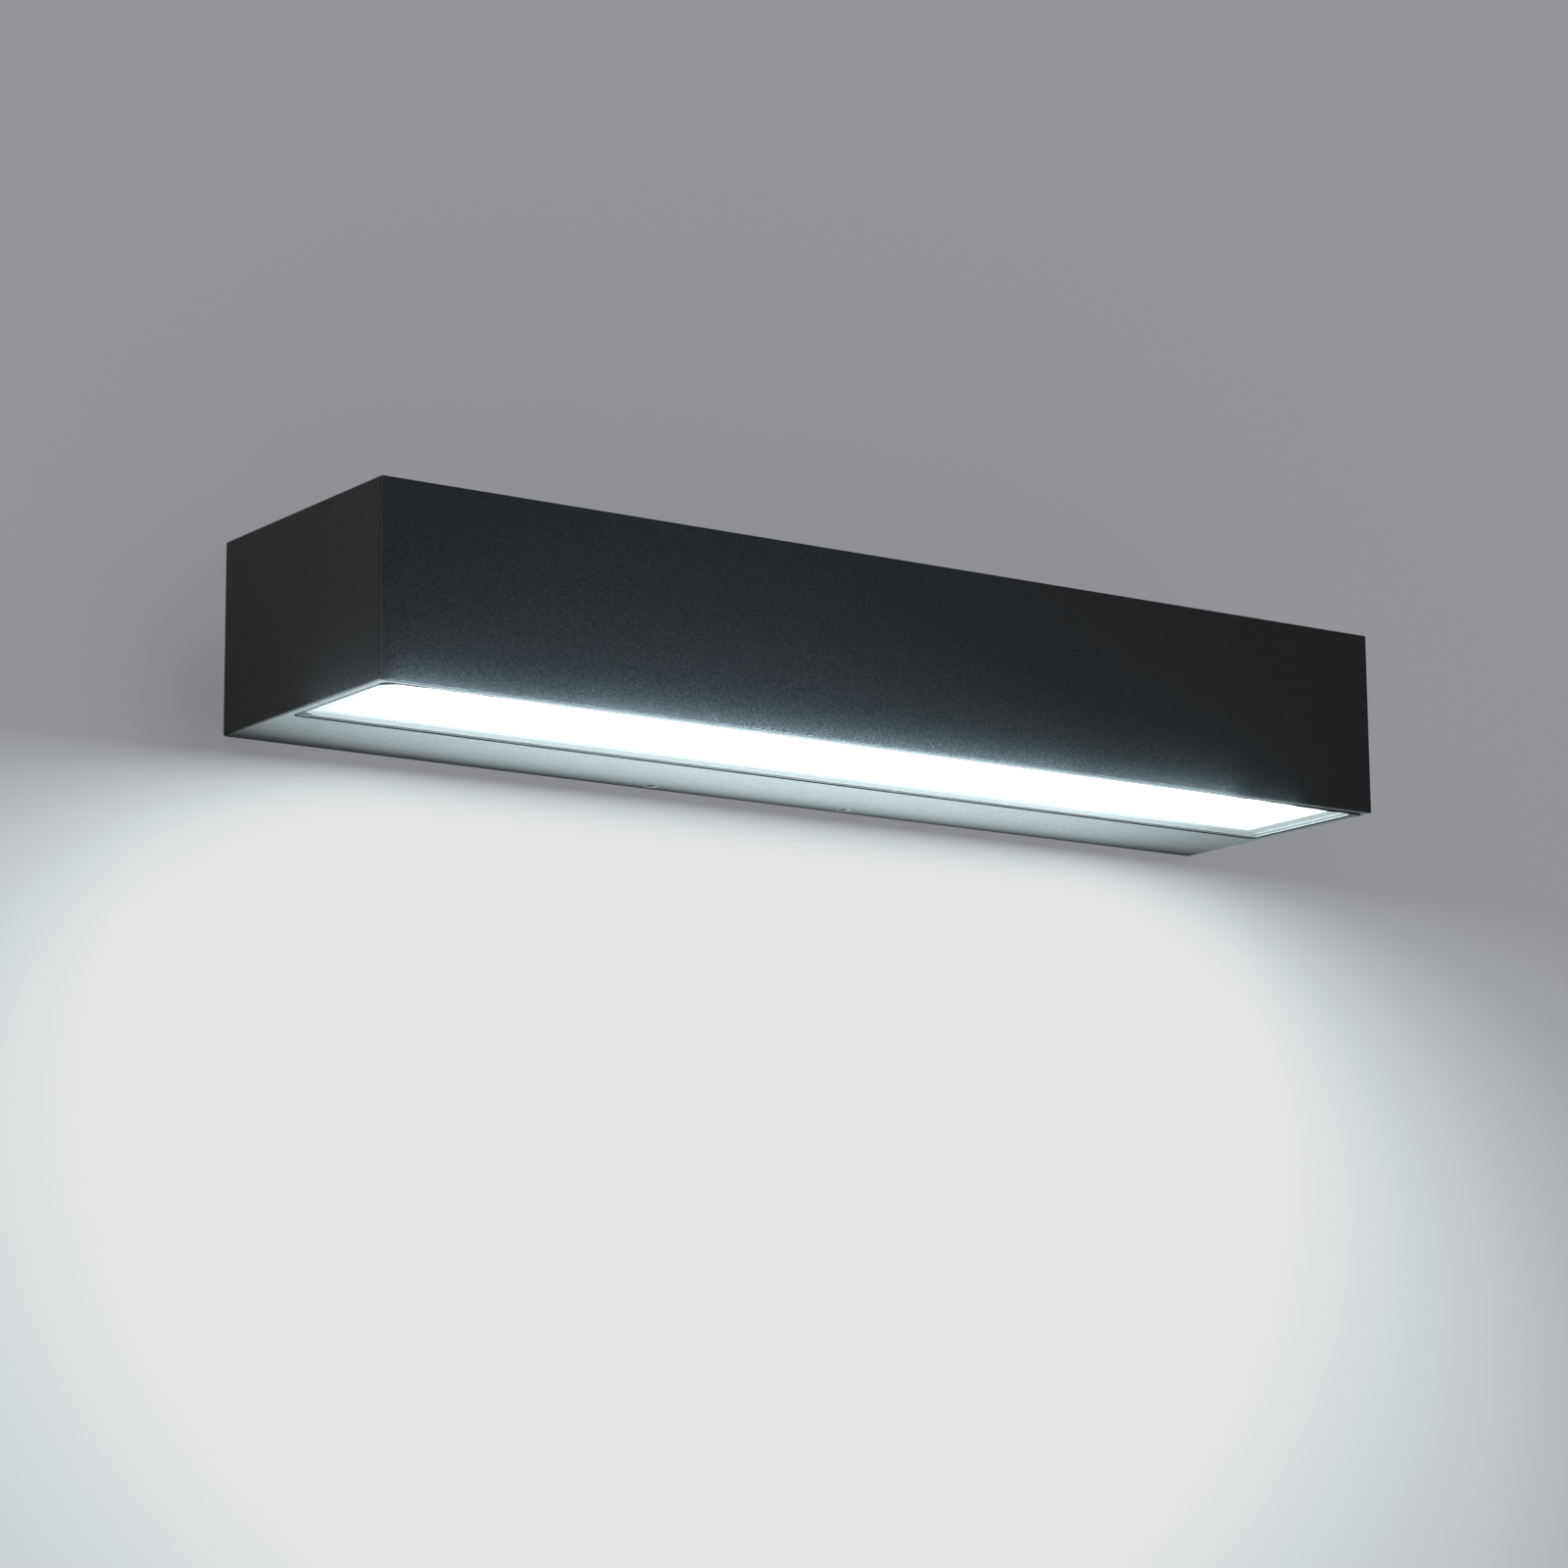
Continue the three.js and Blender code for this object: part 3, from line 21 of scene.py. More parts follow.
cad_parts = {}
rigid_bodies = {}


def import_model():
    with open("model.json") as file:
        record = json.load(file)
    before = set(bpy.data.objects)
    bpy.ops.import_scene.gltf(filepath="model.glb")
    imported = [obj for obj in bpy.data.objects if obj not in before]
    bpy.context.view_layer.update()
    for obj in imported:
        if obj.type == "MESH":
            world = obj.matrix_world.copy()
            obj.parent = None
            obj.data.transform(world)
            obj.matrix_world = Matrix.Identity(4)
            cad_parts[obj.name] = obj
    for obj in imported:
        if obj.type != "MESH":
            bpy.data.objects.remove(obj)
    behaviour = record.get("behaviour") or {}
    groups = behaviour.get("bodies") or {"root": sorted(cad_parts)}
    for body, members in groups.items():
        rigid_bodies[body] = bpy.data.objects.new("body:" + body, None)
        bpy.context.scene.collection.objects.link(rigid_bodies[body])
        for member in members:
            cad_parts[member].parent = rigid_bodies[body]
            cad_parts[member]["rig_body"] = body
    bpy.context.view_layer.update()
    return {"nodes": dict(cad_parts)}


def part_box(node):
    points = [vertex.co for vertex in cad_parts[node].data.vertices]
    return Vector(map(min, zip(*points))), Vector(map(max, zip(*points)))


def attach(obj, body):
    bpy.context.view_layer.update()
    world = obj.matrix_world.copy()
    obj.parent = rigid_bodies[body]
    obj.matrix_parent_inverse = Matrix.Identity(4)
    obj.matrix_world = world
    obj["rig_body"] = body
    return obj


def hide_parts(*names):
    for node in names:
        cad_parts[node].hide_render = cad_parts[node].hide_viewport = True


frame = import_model()
NODES: dict[str, bpy.types.Object] = frame["nodes"]
LOG = logging.getLogger("wall_light")

MM = 0.001
TAU = 2 * math.pi
TINY = 1e-9
Triple = tuple[float, float, float]
Colour = Triple
Socket = bpy.types.NodeSocket
Term = float | Triple | Socket
UP, DOWN, BACK = (0, 0, 1), (0, 0, -1), (0, 1, 0)


# Surfaces


@dataclass
class Skin:
    """One closed skin.

    Attributes:
        points: The points, one row each.
        quads: The four-sided faces, as rows of point numbers.
        ends: The faces that close its ends, as lists of point numbers.
    """

    points: np.ndarray
    quads: np.ndarray
    ends: list[list[int]]


def lofted(rows: np.ndarray, closed: bool = False) -> Skin:
    """Joins loops into a skin: point (i, j) meets (i, j + 1), and (i + 1, j) on the next loop.

    Args:
        rows: Loops with the same number of points, as loops, points and coordinates.
        closed: Whether the last loop joins the first, as round a ring.

    Returns:
        The skin, with its first and last loop filled unless it is closed.
    """
    count, around = rows.shape[:2]
    loops = np.arange(count if closed else count - 1)[:, None]
    low, high = loops * around, (loops + 1) % count * around
    here = np.arange(around)[None, :]
    there = (here + 1) % around
    quads = np.stack([low + here, low + there, high + there, high + here], axis=-1)
    first, last = list(range(around)), list(range((count - 1) * around, count * around))
    return Skin(rows.reshape(-1, 3), quads.reshape(-1, 4), [] if closed else [first[::-1], last])


@dataclass(frozen=True)
class Steps:
    """How finely a rounded rectangle is drawn: pieces in a corner, a long side and a short side."""

    corner: int = 6
    long: int = 1
    short: int = 1


def rounded_loop(
    low: Sequence[float], high: Sequence[float], radius: float, z: float, steps: Steps = Steps(),
) -> np.ndarray:
    """Points round a level rectangle with round corners: centre + radius * (cos, sin) in each.

    Args:
        low: The lowest x and y.
        high: The highest x and y.
        radius: The corner radius.
        z: The height of the loop.
        steps: How finely it is drawn.

    Returns:
        The points, counter-clockwise as seen from above.
    """
    (x0, y0), (x1, y1) = low, high
    centres = np.array([
        [x1 - radius, y1 - radius], [x0 + radius, y1 - radius],
        [x0 + radius, y0 + radius], [x1 - radius, y0 + radius],
    ])
    turns = (np.linspace(0, 1, steps.corner + 1)[None, :] + np.arange(4)[:, None]) * TAU / 4
    arcs = centres[:, None] + radius * np.stack([np.cos(turns), np.sin(turns)], axis=-1)
    nexts = np.roll(arcs[:, 0], -1, axis=0)
    parts = []
    for corner, count in enumerate((steps.long, steps.short, steps.long, steps.short)):
        share = np.linspace(0, 1, count + 1)[1:-1, None]
        parts += [arcs[corner], arcs[corner, -1] + (nexts[corner] - arcs[corner, -1]) * share]
    flat = np.concatenate(parts)
    return np.column_stack([flat, np.full(len(flat), z)])


class Outline(Enum):
    """The outline that a turned piece has at one place along its axis."""

    ROUND = "round"
    HEXAGON = "hexagon"
    CROSS = "cross"
    RIBBED = "ribbed"


CROSS_ARM_SHARE = 0.22
RIB_COUNT = 12
RIB_DEPTH_SHARE = 0.05


def outline_share(kind: Outline, angle: np.ndarray) -> np.ndarray:
    """The radius at each angle, as a share of the radius at the corners.

    A hexagon's side lies at cos(30) / cos(angle from the side's middle). A cross reaches as far
    as either of its two bars does. Ribs follow a raised cosine.

    Args:
        kind: The outline.
        angle: The angles about the axis.

    Returns:
        One share for each angle.
    """
    if kind is Outline.HEXAGON:
        return np.cos(TAU / 12) / np.cos(np.mod(angle, TAU / 6) - TAU / 12)
    if kind is Outline.CROSS:
        along, across = np.abs(np.cos(angle)) + TINY, np.abs(np.sin(angle)) + TINY
        level = np.minimum(1 / along, CROSS_ARM_SHARE / across)
        return np.maximum(level, np.minimum(CROSS_ARM_SHARE / along, 1 / across))
    if kind is Outline.RIBBED:
        return 1 - RIB_DEPTH_SHARE * (0.5 + 0.5 * np.cos(angle * RIB_COUNT)) ** 2
    return np.ones_like(angle)


@dataclass(frozen=True)
class Thread:
    """A screw thread on part of a turned piece.

    Attributes:
        start: Where it starts along the axis.
        end: Where it ends.
        pitch: The rise of one turn.
        depth: How far the roots lie under the crests.
        steps: How many rows draw one turn.
    """

    start: float
    end: float
    pitch: float
    depth: float
    steps: int = 6

    def rows(self) -> np.ndarray:
        """Places along the axis that draw the thread, a few to a turn."""
        count = round((self.end - self.start) / self.pitch * self.steps)
        return np.linspace(self.start, self.end, count)

    def cut(self, along: np.ndarray, angle: np.ndarray) -> np.ndarray:
        """The depth under the crest, a triangle wave of along / pitch - angle / turn.

        Args:
            along: The places along the axis, one column.
            angle: The angles about it, one row.

        Returns:
            A depth for each place and angle, which fades in and out at the thread's two ends.
        """
        phase = np.mod(along / self.pitch - angle / TAU, 1)
        fade = np.clip(np.minimum(along - self.start, self.end - along) / self.pitch, 0, 1)
        return self.depth * np.abs(2 * phase - 1) * fade


Station = tuple[Outline, float, float]


@dataclass(frozen=True)
class Turned:
    """A piece turned about an axis.

    Attributes:
        stations: Outline, radius and place along the axis, in order along the skin.
        sides: How many points go round it.
        thread: Its thread, if any. Its rows follow the first station at or past its start.
        closed: Whether the last station joins the first, as on a ring.
    """

    stations: Sequence[Station]
    sides: int = 48
    thread: Thread | None = None
    closed: bool = False

    def skin(self, centre: Vector, axis: Vector) -> Skin:
        """Works out the skin: centre + axis * along + (cos, sin) * radius * outline share - thread.

        Args:
            centre: The point on the axis from which the stations are measured.
            axis: The direction in which they run.

        Returns:
            The skin in its place.
        """
        stations, thread = list(self.stations), self.thread
        if thread is not None:
            first = next(i for i, station in enumerate(stations) if station[2] >= thread.start)
            crest = stations[first][1]
            stations[first + 1:first + 1] = [
                (Outline.ROUND, crest, float(place)) for place in thread.rows()[1:-1]
            ]
        angle = np.arange(self.sides) * TAU / self.sides
        along = np.array([station[2] for station in stations])[:, None]
        radius = np.array([station[1] for station in stations])[:, None] * np.stack(
            [outline_share(station[0], angle) for station in stations])
        if thread is not None:
            last = next(i for i, station in enumerate(stations) if station[2] >= thread.end)
            reached = np.arange(len(stations))[:, None] <= last
            threaded = (along >= thread.start) & (along <= thread.end) & reached
            radius = radius - np.where(threaded, thread.cut(along, angle[None, :]), 0)
        helper = Vector(UP) if abs(axis.z) < 0.5 else Vector(BACK)
        side = helper.cross(axis).normalized()
        round_axis = (
            np.cos(angle)[:, None] * np.array(side)
            + np.sin(angle)[:, None] * np.array(axis.cross(side))
        )
        rows = np.array(centre) + along[..., None] * np.array(axis) + radius[..., None] * round_axis
        return lofted(rows, self.closed)


# Nodes and finishes


class Nodes:
    """A node tree, with short ways to add and join nodes."""

    def __init__(self, tree: bpy.types.NodeTree) -> None:
        """Works on the given tree."""
        self.tree = tree

    def feed(self, socket: Socket, term: Term) -> None:
        """Joins an output to an input, or sets the input to a number, a vector or a colour."""
        if isinstance(term, Socket):
            self.tree.links.new(term, socket)
        else:
            socket.default_value = (*term, 1) if socket.type == "RGBA" else term

    def fill(self, node: bpy.types.Node, **terms: Term) -> bpy.types.Node:
        """Feeds a node's inputs, named with _ for a space, and returns the node."""
        for name, term in terms.items():
            self.feed(node.inputs[name.replace("_", " ")], term)
        return node

    def node(self, kind: str, **terms: Term) -> bpy.types.Node:
        """Adds a node of a kind, named without its first two words, and fills it."""
        return self.fill(self.tree.nodes.new(f"ShaderNode{kind}"), **terms)

    def ray(self, kind: str) -> Socket:
        """1 for the rays of one kind, such as Glossy, and 0 for the others."""
        return self.node("LightPath").outputs[f"Is {kind} Ray"]

    def mixed(self, share: Term, first: Term, second: Term) -> Socket:
        """Mixes two colours by the second one's share."""
        node = self.node("Mix")
        node.data_type = "RGBA"
        enabled = [socket for socket in node.inputs if socket.enabled]
        for socket, term in zip(enabled, (share, first, second)):
            self.feed(socket, term)
        return next(socket for socket in node.outputs if socket.enabled)

    def math(self, operation: str, *terms: Term, clamp: bool = False) -> Socket:
        """Adds a Math node.

        Args:
            operation: Its operation.
            terms: Numbers or outputs, in order.
            clamp: Whether the result is held between 0 and 1.

        Returns:
            Its output.
        """
        node = self.node("Math")
        node.operation = operation
        node.use_clamp = clamp
        for socket, term in zip(node.inputs, terms):
            self.feed(socket, term)
        return node.outputs[0]

    def times(self, first: Term, second: Term) -> Socket:
        """The product of two terms."""
        return self.math("MULTIPLY", first, second)

    def minus(self, first: Term, second: Term) -> Socket:
        """The first term less the second."""
        return self.math("SUBTRACT", first, second)

    def squares(self, first: Socket, second: Socket) -> Socket:
        """The sum of two squares."""
        return self.math("MULTIPLY_ADD", first, first, self.times(second, second))

    def under(self, value: Socket, limit: float) -> Socket:
        """1 where a value is under a limit, else 0."""
        return self.math("LESS_THAN", value, limit)

    def over_zero(self, value: Socket) -> Socket:
        """A value where it is over 0, else 0."""
        return self.math("MAXIMUM", value, 0)

    def falling(self, value: Socket) -> Socket:
        """exp(-value), which falls from 1 at 0 towards 0."""
        return self.math("EXPONENT", self.times(value, -1))

    def away(self, value: Socket, middle: float, reach: float) -> Socket:
        """How far a value is from a middle, as a share of a reach."""
        return self.math("DIVIDE", self.minus(value, middle), reach)


class Graph(Nodes):
    """The nodes of one material."""

    def __init__(self, name: str) -> None:
        """Starts a material of the given name with one shader."""
        self.material = bpy.data.materials.new(name)
        self.material.use_nodes = True
        super().__init__(self.material.node_tree)
        self.tree.nodes.clear()
        self.shader = self.node("BsdfPrincipled")
        self.output = self.node("OutputMaterial", Surface=self.shader.outputs["BSDF"])
        self.coordinates = self.node("TexCoord").outputs["Object"]

    def set(self, **terms: Term) -> None:
        """Feeds the shader's inputs, named with _ for a space."""
        self.fill(self.shader, **terms)

    def axes(self) -> tuple[Socket, ...]:
        """The coordinates x, y and z."""
        return tuple(self.node("SeparateXYZ", Vector=self.coordinates).outputs)

    def noise(
        self, size: float, detail: float = 2, rough: float = 0.5, stretch: float = 1,
    ) -> Socket:
        """Adds noise.

        Args:
            size: How far apart its lumps are.
            detail: How many finer layers it has.
            rough: How strong those are.
            stretch: How many times longer the lumps are along X than across.

        Returns:
            Its output, about 0.5 on average.
        """
        vector = self.coordinates
        if stretch != 1:
            mapping = self.node("Mapping", Vector=vector, Scale=(1 / stretch, 1, 1))
            vector = mapping.outputs["Vector"]
        noise = self.node("TexNoise", Vector=vector, Scale=1 / size, Detail=detail, Roughness=rough)
        return noise.outputs["Fac"]

    def ramp(self, value: Socket, *stops: tuple[float, Colour]) -> Socket:
        """Turns a number into a colour between the given stops."""
        node = self.node("ValToRGB", Fac=value)
        elements = node.color_ramp.elements
        while len(elements) < len(stops):
            elements.new(0.5)
        for element, (place, colour) in zip(elements, stops):
            element.position, element.color = place, (*colour, 1)
        return node.outputs["Color"]

    def between(
        self, value: Socket, low: float, high: float, start: float = 0.3, end: float = 0.7,
    ) -> Socket:
        """Maps a number that runs from start to end onto low to high."""
        return self.node(
            "MapRange", Value=value, From_Min=start, From_Max=end, To_Min=low, To_Max=high,
        ).outputs["Result"]

    def relief(self, *heights: tuple[Socket, float]) -> None:
        """Gives the shader a bump, from outputs that each have a height in metres."""
        total: Term = 0
        for value, height in heights:
            total = self.math("MULTIPLY_ADD", value, height, total)
        self.set(Normal=self.node("Bump", Strength=1, Distance=1, Height=total).outputs["Normal"])


@dataclass(frozen=True)
class Finish:
    """A finish, which builds its material once.

    Attributes:
        name: The material's name.
        slot: The record's slot for this finish. It is not used.
    """

    name: str
    slot: str = ""

    def material(self) -> bpy.types.Material:
        """The finish's material, made when it is first asked for."""
        title = f"{self.name}_finish"
        made = bpy.data.materials.get(title)
        if made is None:
            graph = Graph(title)
            self.dress(graph)
            made = graph.material
        return made

    def dress(self, graph: Graph) -> None:
        """Fills in the material's nodes."""
        raise NotImplementedError


@dataclass(frozen=True)
class Grained(Finish):
    """A finish in two tones with a fine grain, such as plain moulded plastic.

    Attributes:
        low: Its darker colour.
        high: Its paler colour.
        rough: Its lowest and its highest roughness.
        grain: How far apart the marks of the grain are.
        depth: How deep the grain is.
    """

    low: Colour = (0.012, 0.012, 0.012)
    high: Colour = (0.024, 0.024, 0.025)
    rough: tuple[float, float] = (0.4, 0.55)
    grain: float = 0.5 * MM
    depth: float = 0.012 * MM

    def lay(self, graph: Graph, tone: Socket, soft: float, grain: Socket) -> None:
        """Lays the two colours, the roughness and the relief.

        Args:
            graph: The material's nodes.
            tone: What tells the colours apart, about 0.5 on average.
            soft: How far from 0.5 it has reached each of them.
            grain: What sets the roughness and the relief.
        """
        graph.set(
            Base_Color=graph.ramp(tone, (0.5 - soft, self.low), (0.5 + soft, self.high)),
            Roughness=graph.between(grain, *self.rough),
        )
        graph.relief((grain, self.depth))


@dataclass(frozen=True)
class PowderCoat(Grained):
    """A dark fine-textured powder coat: grain, pale flecks and a faint orange peel.

    Attributes:
        tones: The grain's values at which its two colours are reached.
        peel: How far apart the lumps of the orange peel are. It is as deep as the grain.
        fleck: The colour of the few pale flecks.
        fleck_cell: How far apart the flecks' cells are.
        fleck_reach: How far a fleck reaches, as a share of its cell.
        without: The share of the cells that have no fleck.
        bare: The colour of the bare metal in the two tapped holes, which the coat leaves free.
        tapped: How far those holes are to either side of the middle, and their place along Y.
        tap_radius: The radius within which the metal is bare.
    """

    low: Colour = (0.0031, 0.0034, 0.0036)
    high: Colour = (0.0056, 0.0063, 0.0067)
    rough: tuple[float, float] = (0.34, 0.48)
    grain: float = 0.75 * MM
    depth: float = 0.05 * MM
    tones: tuple[float, float] = (0.35, 0.68)
    peel: float = 2.6 * MM
    fleck: Colour = (0.0110, 0.0126, 0.0140)
    fleck_cell: float = 1.2 * MM
    fleck_reach: float = 0.16
    without: float = 0.62
    bare: Colour = (0.55, 0.56, 0.57)
    tapped: tuple[float, float] = (40 * MM, -5.0 * MM)
    tap_radius: float = 2.3 * MM

    def _in_a_hole(self, graph: Graph) -> Socket:
        """1 where (|x| - offset)^2 + (y - place)^2 is under the radius's square and z under 0."""
        x, y, z = graph.axes()
        across = graph.minus(graph.math("ABSOLUTE", x), self.tapped[0])
        square = graph.squares(across, graph.minus(y, self.tapped[1]))
        return graph.times(graph.under(square, self.tap_radius ** 2), graph.under(z, 0))

    def _flecks(self, graph: Graph) -> Socket:
        """The strength of a fleck near the middle of some of the cells, and 0 elsewhere."""
        cells = graph.node(
            "TexVoronoi", Vector=graph.coordinates, Scale=1 / self.fleck_cell).outputs
        draw = graph.node("SeparateColor", Color=cells["Color"]).outputs
        chosen = graph.times(graph.math("GREATER_THAN", draw["Red"], self.without), draw["Green"])
        return graph.times(graph.under(cells["Distance"], self.fleck_reach), chosen)

    def dress(self, graph: Graph) -> None:
        """Grain and peel from noise, flecks from some of the cells, and bare tapped holes."""
        grain = graph.noise(self.grain, detail=3, rough=0.6)
        tone = graph.ramp(grain, (self.tones[0], self.low), (self.tones[1], self.high))
        hole = self._in_a_hole(graph)
        coat = graph.mixed(self._flecks(graph), tone, self.fleck)
        graph.set(
            Base_Color=graph.mixed(hole, coat, self.bare), Metallic=hole,
            Roughness=graph.between(grain, *self.rough), Specular_IOR_Level=0.35,
        )
        graph.relief((grain, self.depth), (graph.noise(self.peel, detail=1), self.depth))


@dataclass(frozen=True)
class SheetMetal(Grained):
    """Rolled, cast or plated metal with a grain and soft blotches.

    Attributes:
        stretch: How many times longer the marks of the grain are along X than across.
        blotch: How far apart the blotches are.
    """

    low: Colour = (0.40, 0.41, 0.42)
    high: Colour = (0.52, 0.53, 0.54)
    rough: tuple[float, float] = (0.32, 0.48)
    grain: float = 0.35 * MM
    depth: float = 0.004 * MM
    stretch: float = 30
    blotch: float = 14 * MM

    def dress(self, graph: Graph) -> None:
        """Long grain in roughness and relief, and blotches in colour."""
        blotches = graph.noise(self.blotch, detail=4, rough=0.62)
        self.lay(graph, blotches, 0.15, graph.noise(self.grain, stretch=self.stretch))
        graph.set(Metallic=1)


@dataclass(frozen=True)
class Moulded(Grained):
    """Plastic, rubber or paint with a fine moulded texture.

    Attributes:
        specular: How strong its plain reflection is.
        patch: How many times farther apart than the grain its soft patches are.
    """

    specular: float = 0.5
    patch: float = 40

    def dress(self, graph: Graph) -> None:
        """Fine noise in colour, roughness and relief, over broad soft patches."""
        grain = graph.noise(self.grain)
        patches = graph.noise(self.patch * self.grain, detail=3)
        blend = graph.math("MULTIPLY_ADD", patches, 0.5, graph.times(grain, 0.5))
        self.lay(graph, blend, 0.12, grain)
        graph.set(Specular_IOR_Level=self.specular)


@dataclass(frozen=True)
class ClearGlass(Finish):
    """Toughened clear glass with a faint green body, polished faces and arrises, and ground sides.

    Attributes:
        body: The glass's colour.
        middle: The height of the middle of the ground band round the pane's sides.
        ground: Half the height of that band.
        dullness: How rough the band is, from and to.
        right: Where the pane's right side begins, which has a painted glow low down.
        glow: The colour of that painted glow, which stands in for light the pane carries there.
        strength: How bright that painted glow is.
        painted_glow_top: How high up the side it shows.
    """

    body: Colour = (0.93, 0.975, 0.96)
    middle: float = -29.6 * MM
    ground: float = 1.45 * MM
    dullness: tuple[float, float] = (0.42, 0.56)
    right: float = 195.1 * MM
    glow: Colour = (0.84, 0.97, 0.97)
    strength: float = 1.2
    painted_glow_top: float = -31.15 * MM

    def dress(self, graph: Graph) -> None:
        """Smooth glass, dull on its ground band, with a painted glow low on its right side."""
        x, _, z = graph.axes()
        band = graph.under(graph.math("ABSOLUTE", graph.minus(z, self.middle)), self.ground)
        # painted glow: emission on the low part of the right side, standing in for light carried
        # through the pane
        side = graph.math("GREATER_THAN", x, self.right)
        lit = graph.times(side, graph.under(z, self.painted_glow_top))
        graph.set(
            Base_Color=self.body, Transmission_Weight=1, IOR=1.5,
            Roughness=graph.times(band, graph.between(graph.noise(1 * MM), *self.dullness)),
            Emission_Color=self.glow, Emission_Strength=graph.times(lit, self.strength),
        )


@dataclass(frozen=True)
class OpalSheet(Finish):
    """Opal plastic, lit from behind by the emitters.

    Attributes:
        body: The plastic's colour.
        glow: The light's colour.
        strength: How bright the face is where the light is fullest.
        ends: How far from the middle it starts to dim towards both ends, and the sheet's end.
        end_share: How bright it is there.
        last: The place past the last emitters on the left, where the face dims.
        edge: Over how much length it dims there.
        front: The place along Y at which that place is measured.
        slant: How far that place moves right for each metre towards the rear.
        dim: How bright the face is beyond it.
    """

    body: Colour = (0.86, 0.88, 0.90)
    glow: Colour = (0.90, 0.965, 1.0)
    strength: float = 3.2
    ends: tuple[float, float] = (165 * MM, 190 * MM)
    end_share: float = 0.55
    last: float = -187.5 * MM
    edge: float = 3 * MM
    front: float = -95 * MM
    slant: float = 0.17
    dim: float = 0.17

    def dress(self, graph: Graph) -> None:
        """Light that falls off towards the ends of the sheet, with a very fine mottle."""
        x, y, _ = graph.axes()
        ends = graph.between(graph.math("ABSOLUTE", x), 1, self.end_share, *self.ends)
        lean = graph.math("MULTIPLY_ADD", graph.minus(y, self.front), -self.slant, x)
        fade = graph.times(ends, graph.between(lean, self.dim, 1, self.last, self.last + self.edge))
        mottle = graph.between(graph.noise(1.2 * MM), 0.97, 1.03)
        graph.set(
            Base_Color=self.body, Emission_Color=self.glow,
            Emission_Strength=graph.times(graph.times(fade, mottle), self.strength),
            Roughness=graph.between(graph.noise(0.8 * MM), 0.42, 0.55),
        )


@dataclass(frozen=True)
class BoardMask(Finish):
    """White solder mask, with the emitters' yellow phosphor faces where the board is lowest.

    Attributes:
        mask: The solder mask's colour.
        track: Its colour where the tracks under it show.
        phosphor: The colour of the emitters' faces.
        face: The height under which a point is on an emitter's face.
    """

    mask: Colour = (0.80, 0.80, 0.78)
    track: Colour = (0.74, 0.74, 0.72)
    phosphor: Colour = (0.85, 0.62, 0.12)
    face: float = -9.0 * MM

    def dress(self, graph: Graph) -> None:
        """The two colours by height, and faint tracks under the mask."""
        tracks = graph.ramp(graph.noise(3 * MM, detail=3), (0.3, self.track), (0.6, self.mask))
        graph.set(
            Base_Color=graph.mixed(graph.under(graph.axes()[2], self.face), tracks, self.phosphor),
            Roughness=graph.between(graph.noise(1 * MM), 0.35, 0.5),
        )


@dataclass(frozen=True)
class StripedLead(Finish):
    """Insulation in two colours that run along the lead in bands.

    Attributes:
        first: The first colour.
        second: The second colour.
        band: How far apart the bands are.
    """

    first: Colour = (0.05, 0.22, 0.03)
    second: Colour = (0.62, 0.55, 0.03)
    band: float = 2.4 * MM

    def dress(self, graph: Graph) -> None:
        """Bands across X with slightly soft edges."""
        wave = graph.math("SINE", graph.times(graph.axes()[0], TAU / self.band))
        share = graph.math("MULTIPLY_ADD", wave, 0.5, 0.5)
        graph.set(
            Base_Color=graph.ramp(share, (0.45, self.first), (0.55, self.second)),
            Roughness=graph.between(graph.noise(0.6 * MM), 0.4, 0.55),
        )


COAT = PowderCoat("powder_coat", "black_powder_coat")
ALUMINIUM = SheetMetal("mill_aluminium", "bare_aluminium")
ZINC_SHEET = SheetMetal(
    "zinc_sheet", "zinc_steel", low=(0.36, 0.37, 0.37), high=(0.56, 0.55, 0.50),
    rough=(0.28, 0.44), grain=0.5 * MM, stretch=8, blotch=9 * MM,
)
ZINC_SCREW = SheetMetal(
    "zinc_screw", "zinc_screw", low=(0.46, 0.47, 0.47), high=(0.60, 0.59, 0.56),
    rough=(0.22, 0.34), grain=0.12 * MM, depth=0.002 * MM, stretch=1, blotch=2 * MM,
)
BLACK_SCREW = SheetMetal(
    "black_oxide", "dark_steel", low=(0.06, 0.062, 0.066), high=(0.11, 0.113, 0.118),
    rough=(0.34, 0.5), grain=0.12 * MM, depth=0.002 * MM, stretch=1, blotch=1.5 * MM,
)
GLASS = ClearGlass("clear_glass", "clear_glass")
OPAL = OpalSheet("opal_sheet", "opal_plastic")
SILICONE = Moulded(
    "black_silicone", "black_rubber", low=(0.010, 0.0125, 0.0135), high=(0.021, 0.025, 0.027),
    rough=(0.5, 0.65), grain=0.9 * MM, depth=0.03 * MM, specular=0.25,
)
RUBBER = Moulded(
    "black_rubber", low=(0.009, 0.009, 0.009), high=(0.018, 0.018, 0.018), rough=(0.6, 0.8),
)
NYLON = Moulded(
    "black_nylon", "black_plastic", low=(0.010, 0.010, 0.011), high=(0.022, 0.022, 0.024),
)
WHITE_PAINT = Moulded(
    "white_paint", low=(0.74, 0.74, 0.73), high=(0.82, 0.82, 0.81), rough=(0.42, 0.55),
    grain=0.8 * MM,
)
WHITE_PLASTIC = Moulded(
    "white_plastic", "white_plastic", low=(0.66, 0.65, 0.61), high=(0.74, 0.73, 0.69),
)
BOARD = BoardMask("board_mask")
LEADS: dict[str, Finish] = {
    "lead_live": Moulded("brown_lead", low=(0.055, 0.024, 0.012), high=(0.085, 0.036, 0.018)),
    "lead_neutral": Moulded("blue_lead", low=(0.012, 0.065, 0.26), high=(0.02, 0.10, 0.38)),
    "lead_earth": StripedLead("earth_lead"),
    "lead_positive": Moulded("red_lead", low=(0.28, 0.012, 0.01), high=(0.40, 0.02, 0.015)),
    "lead_negative": Moulded("black_lead", low=(0.008, 0.008, 0.008), high=(0.016, 0.016, 0.016)),
}


# Making pieces


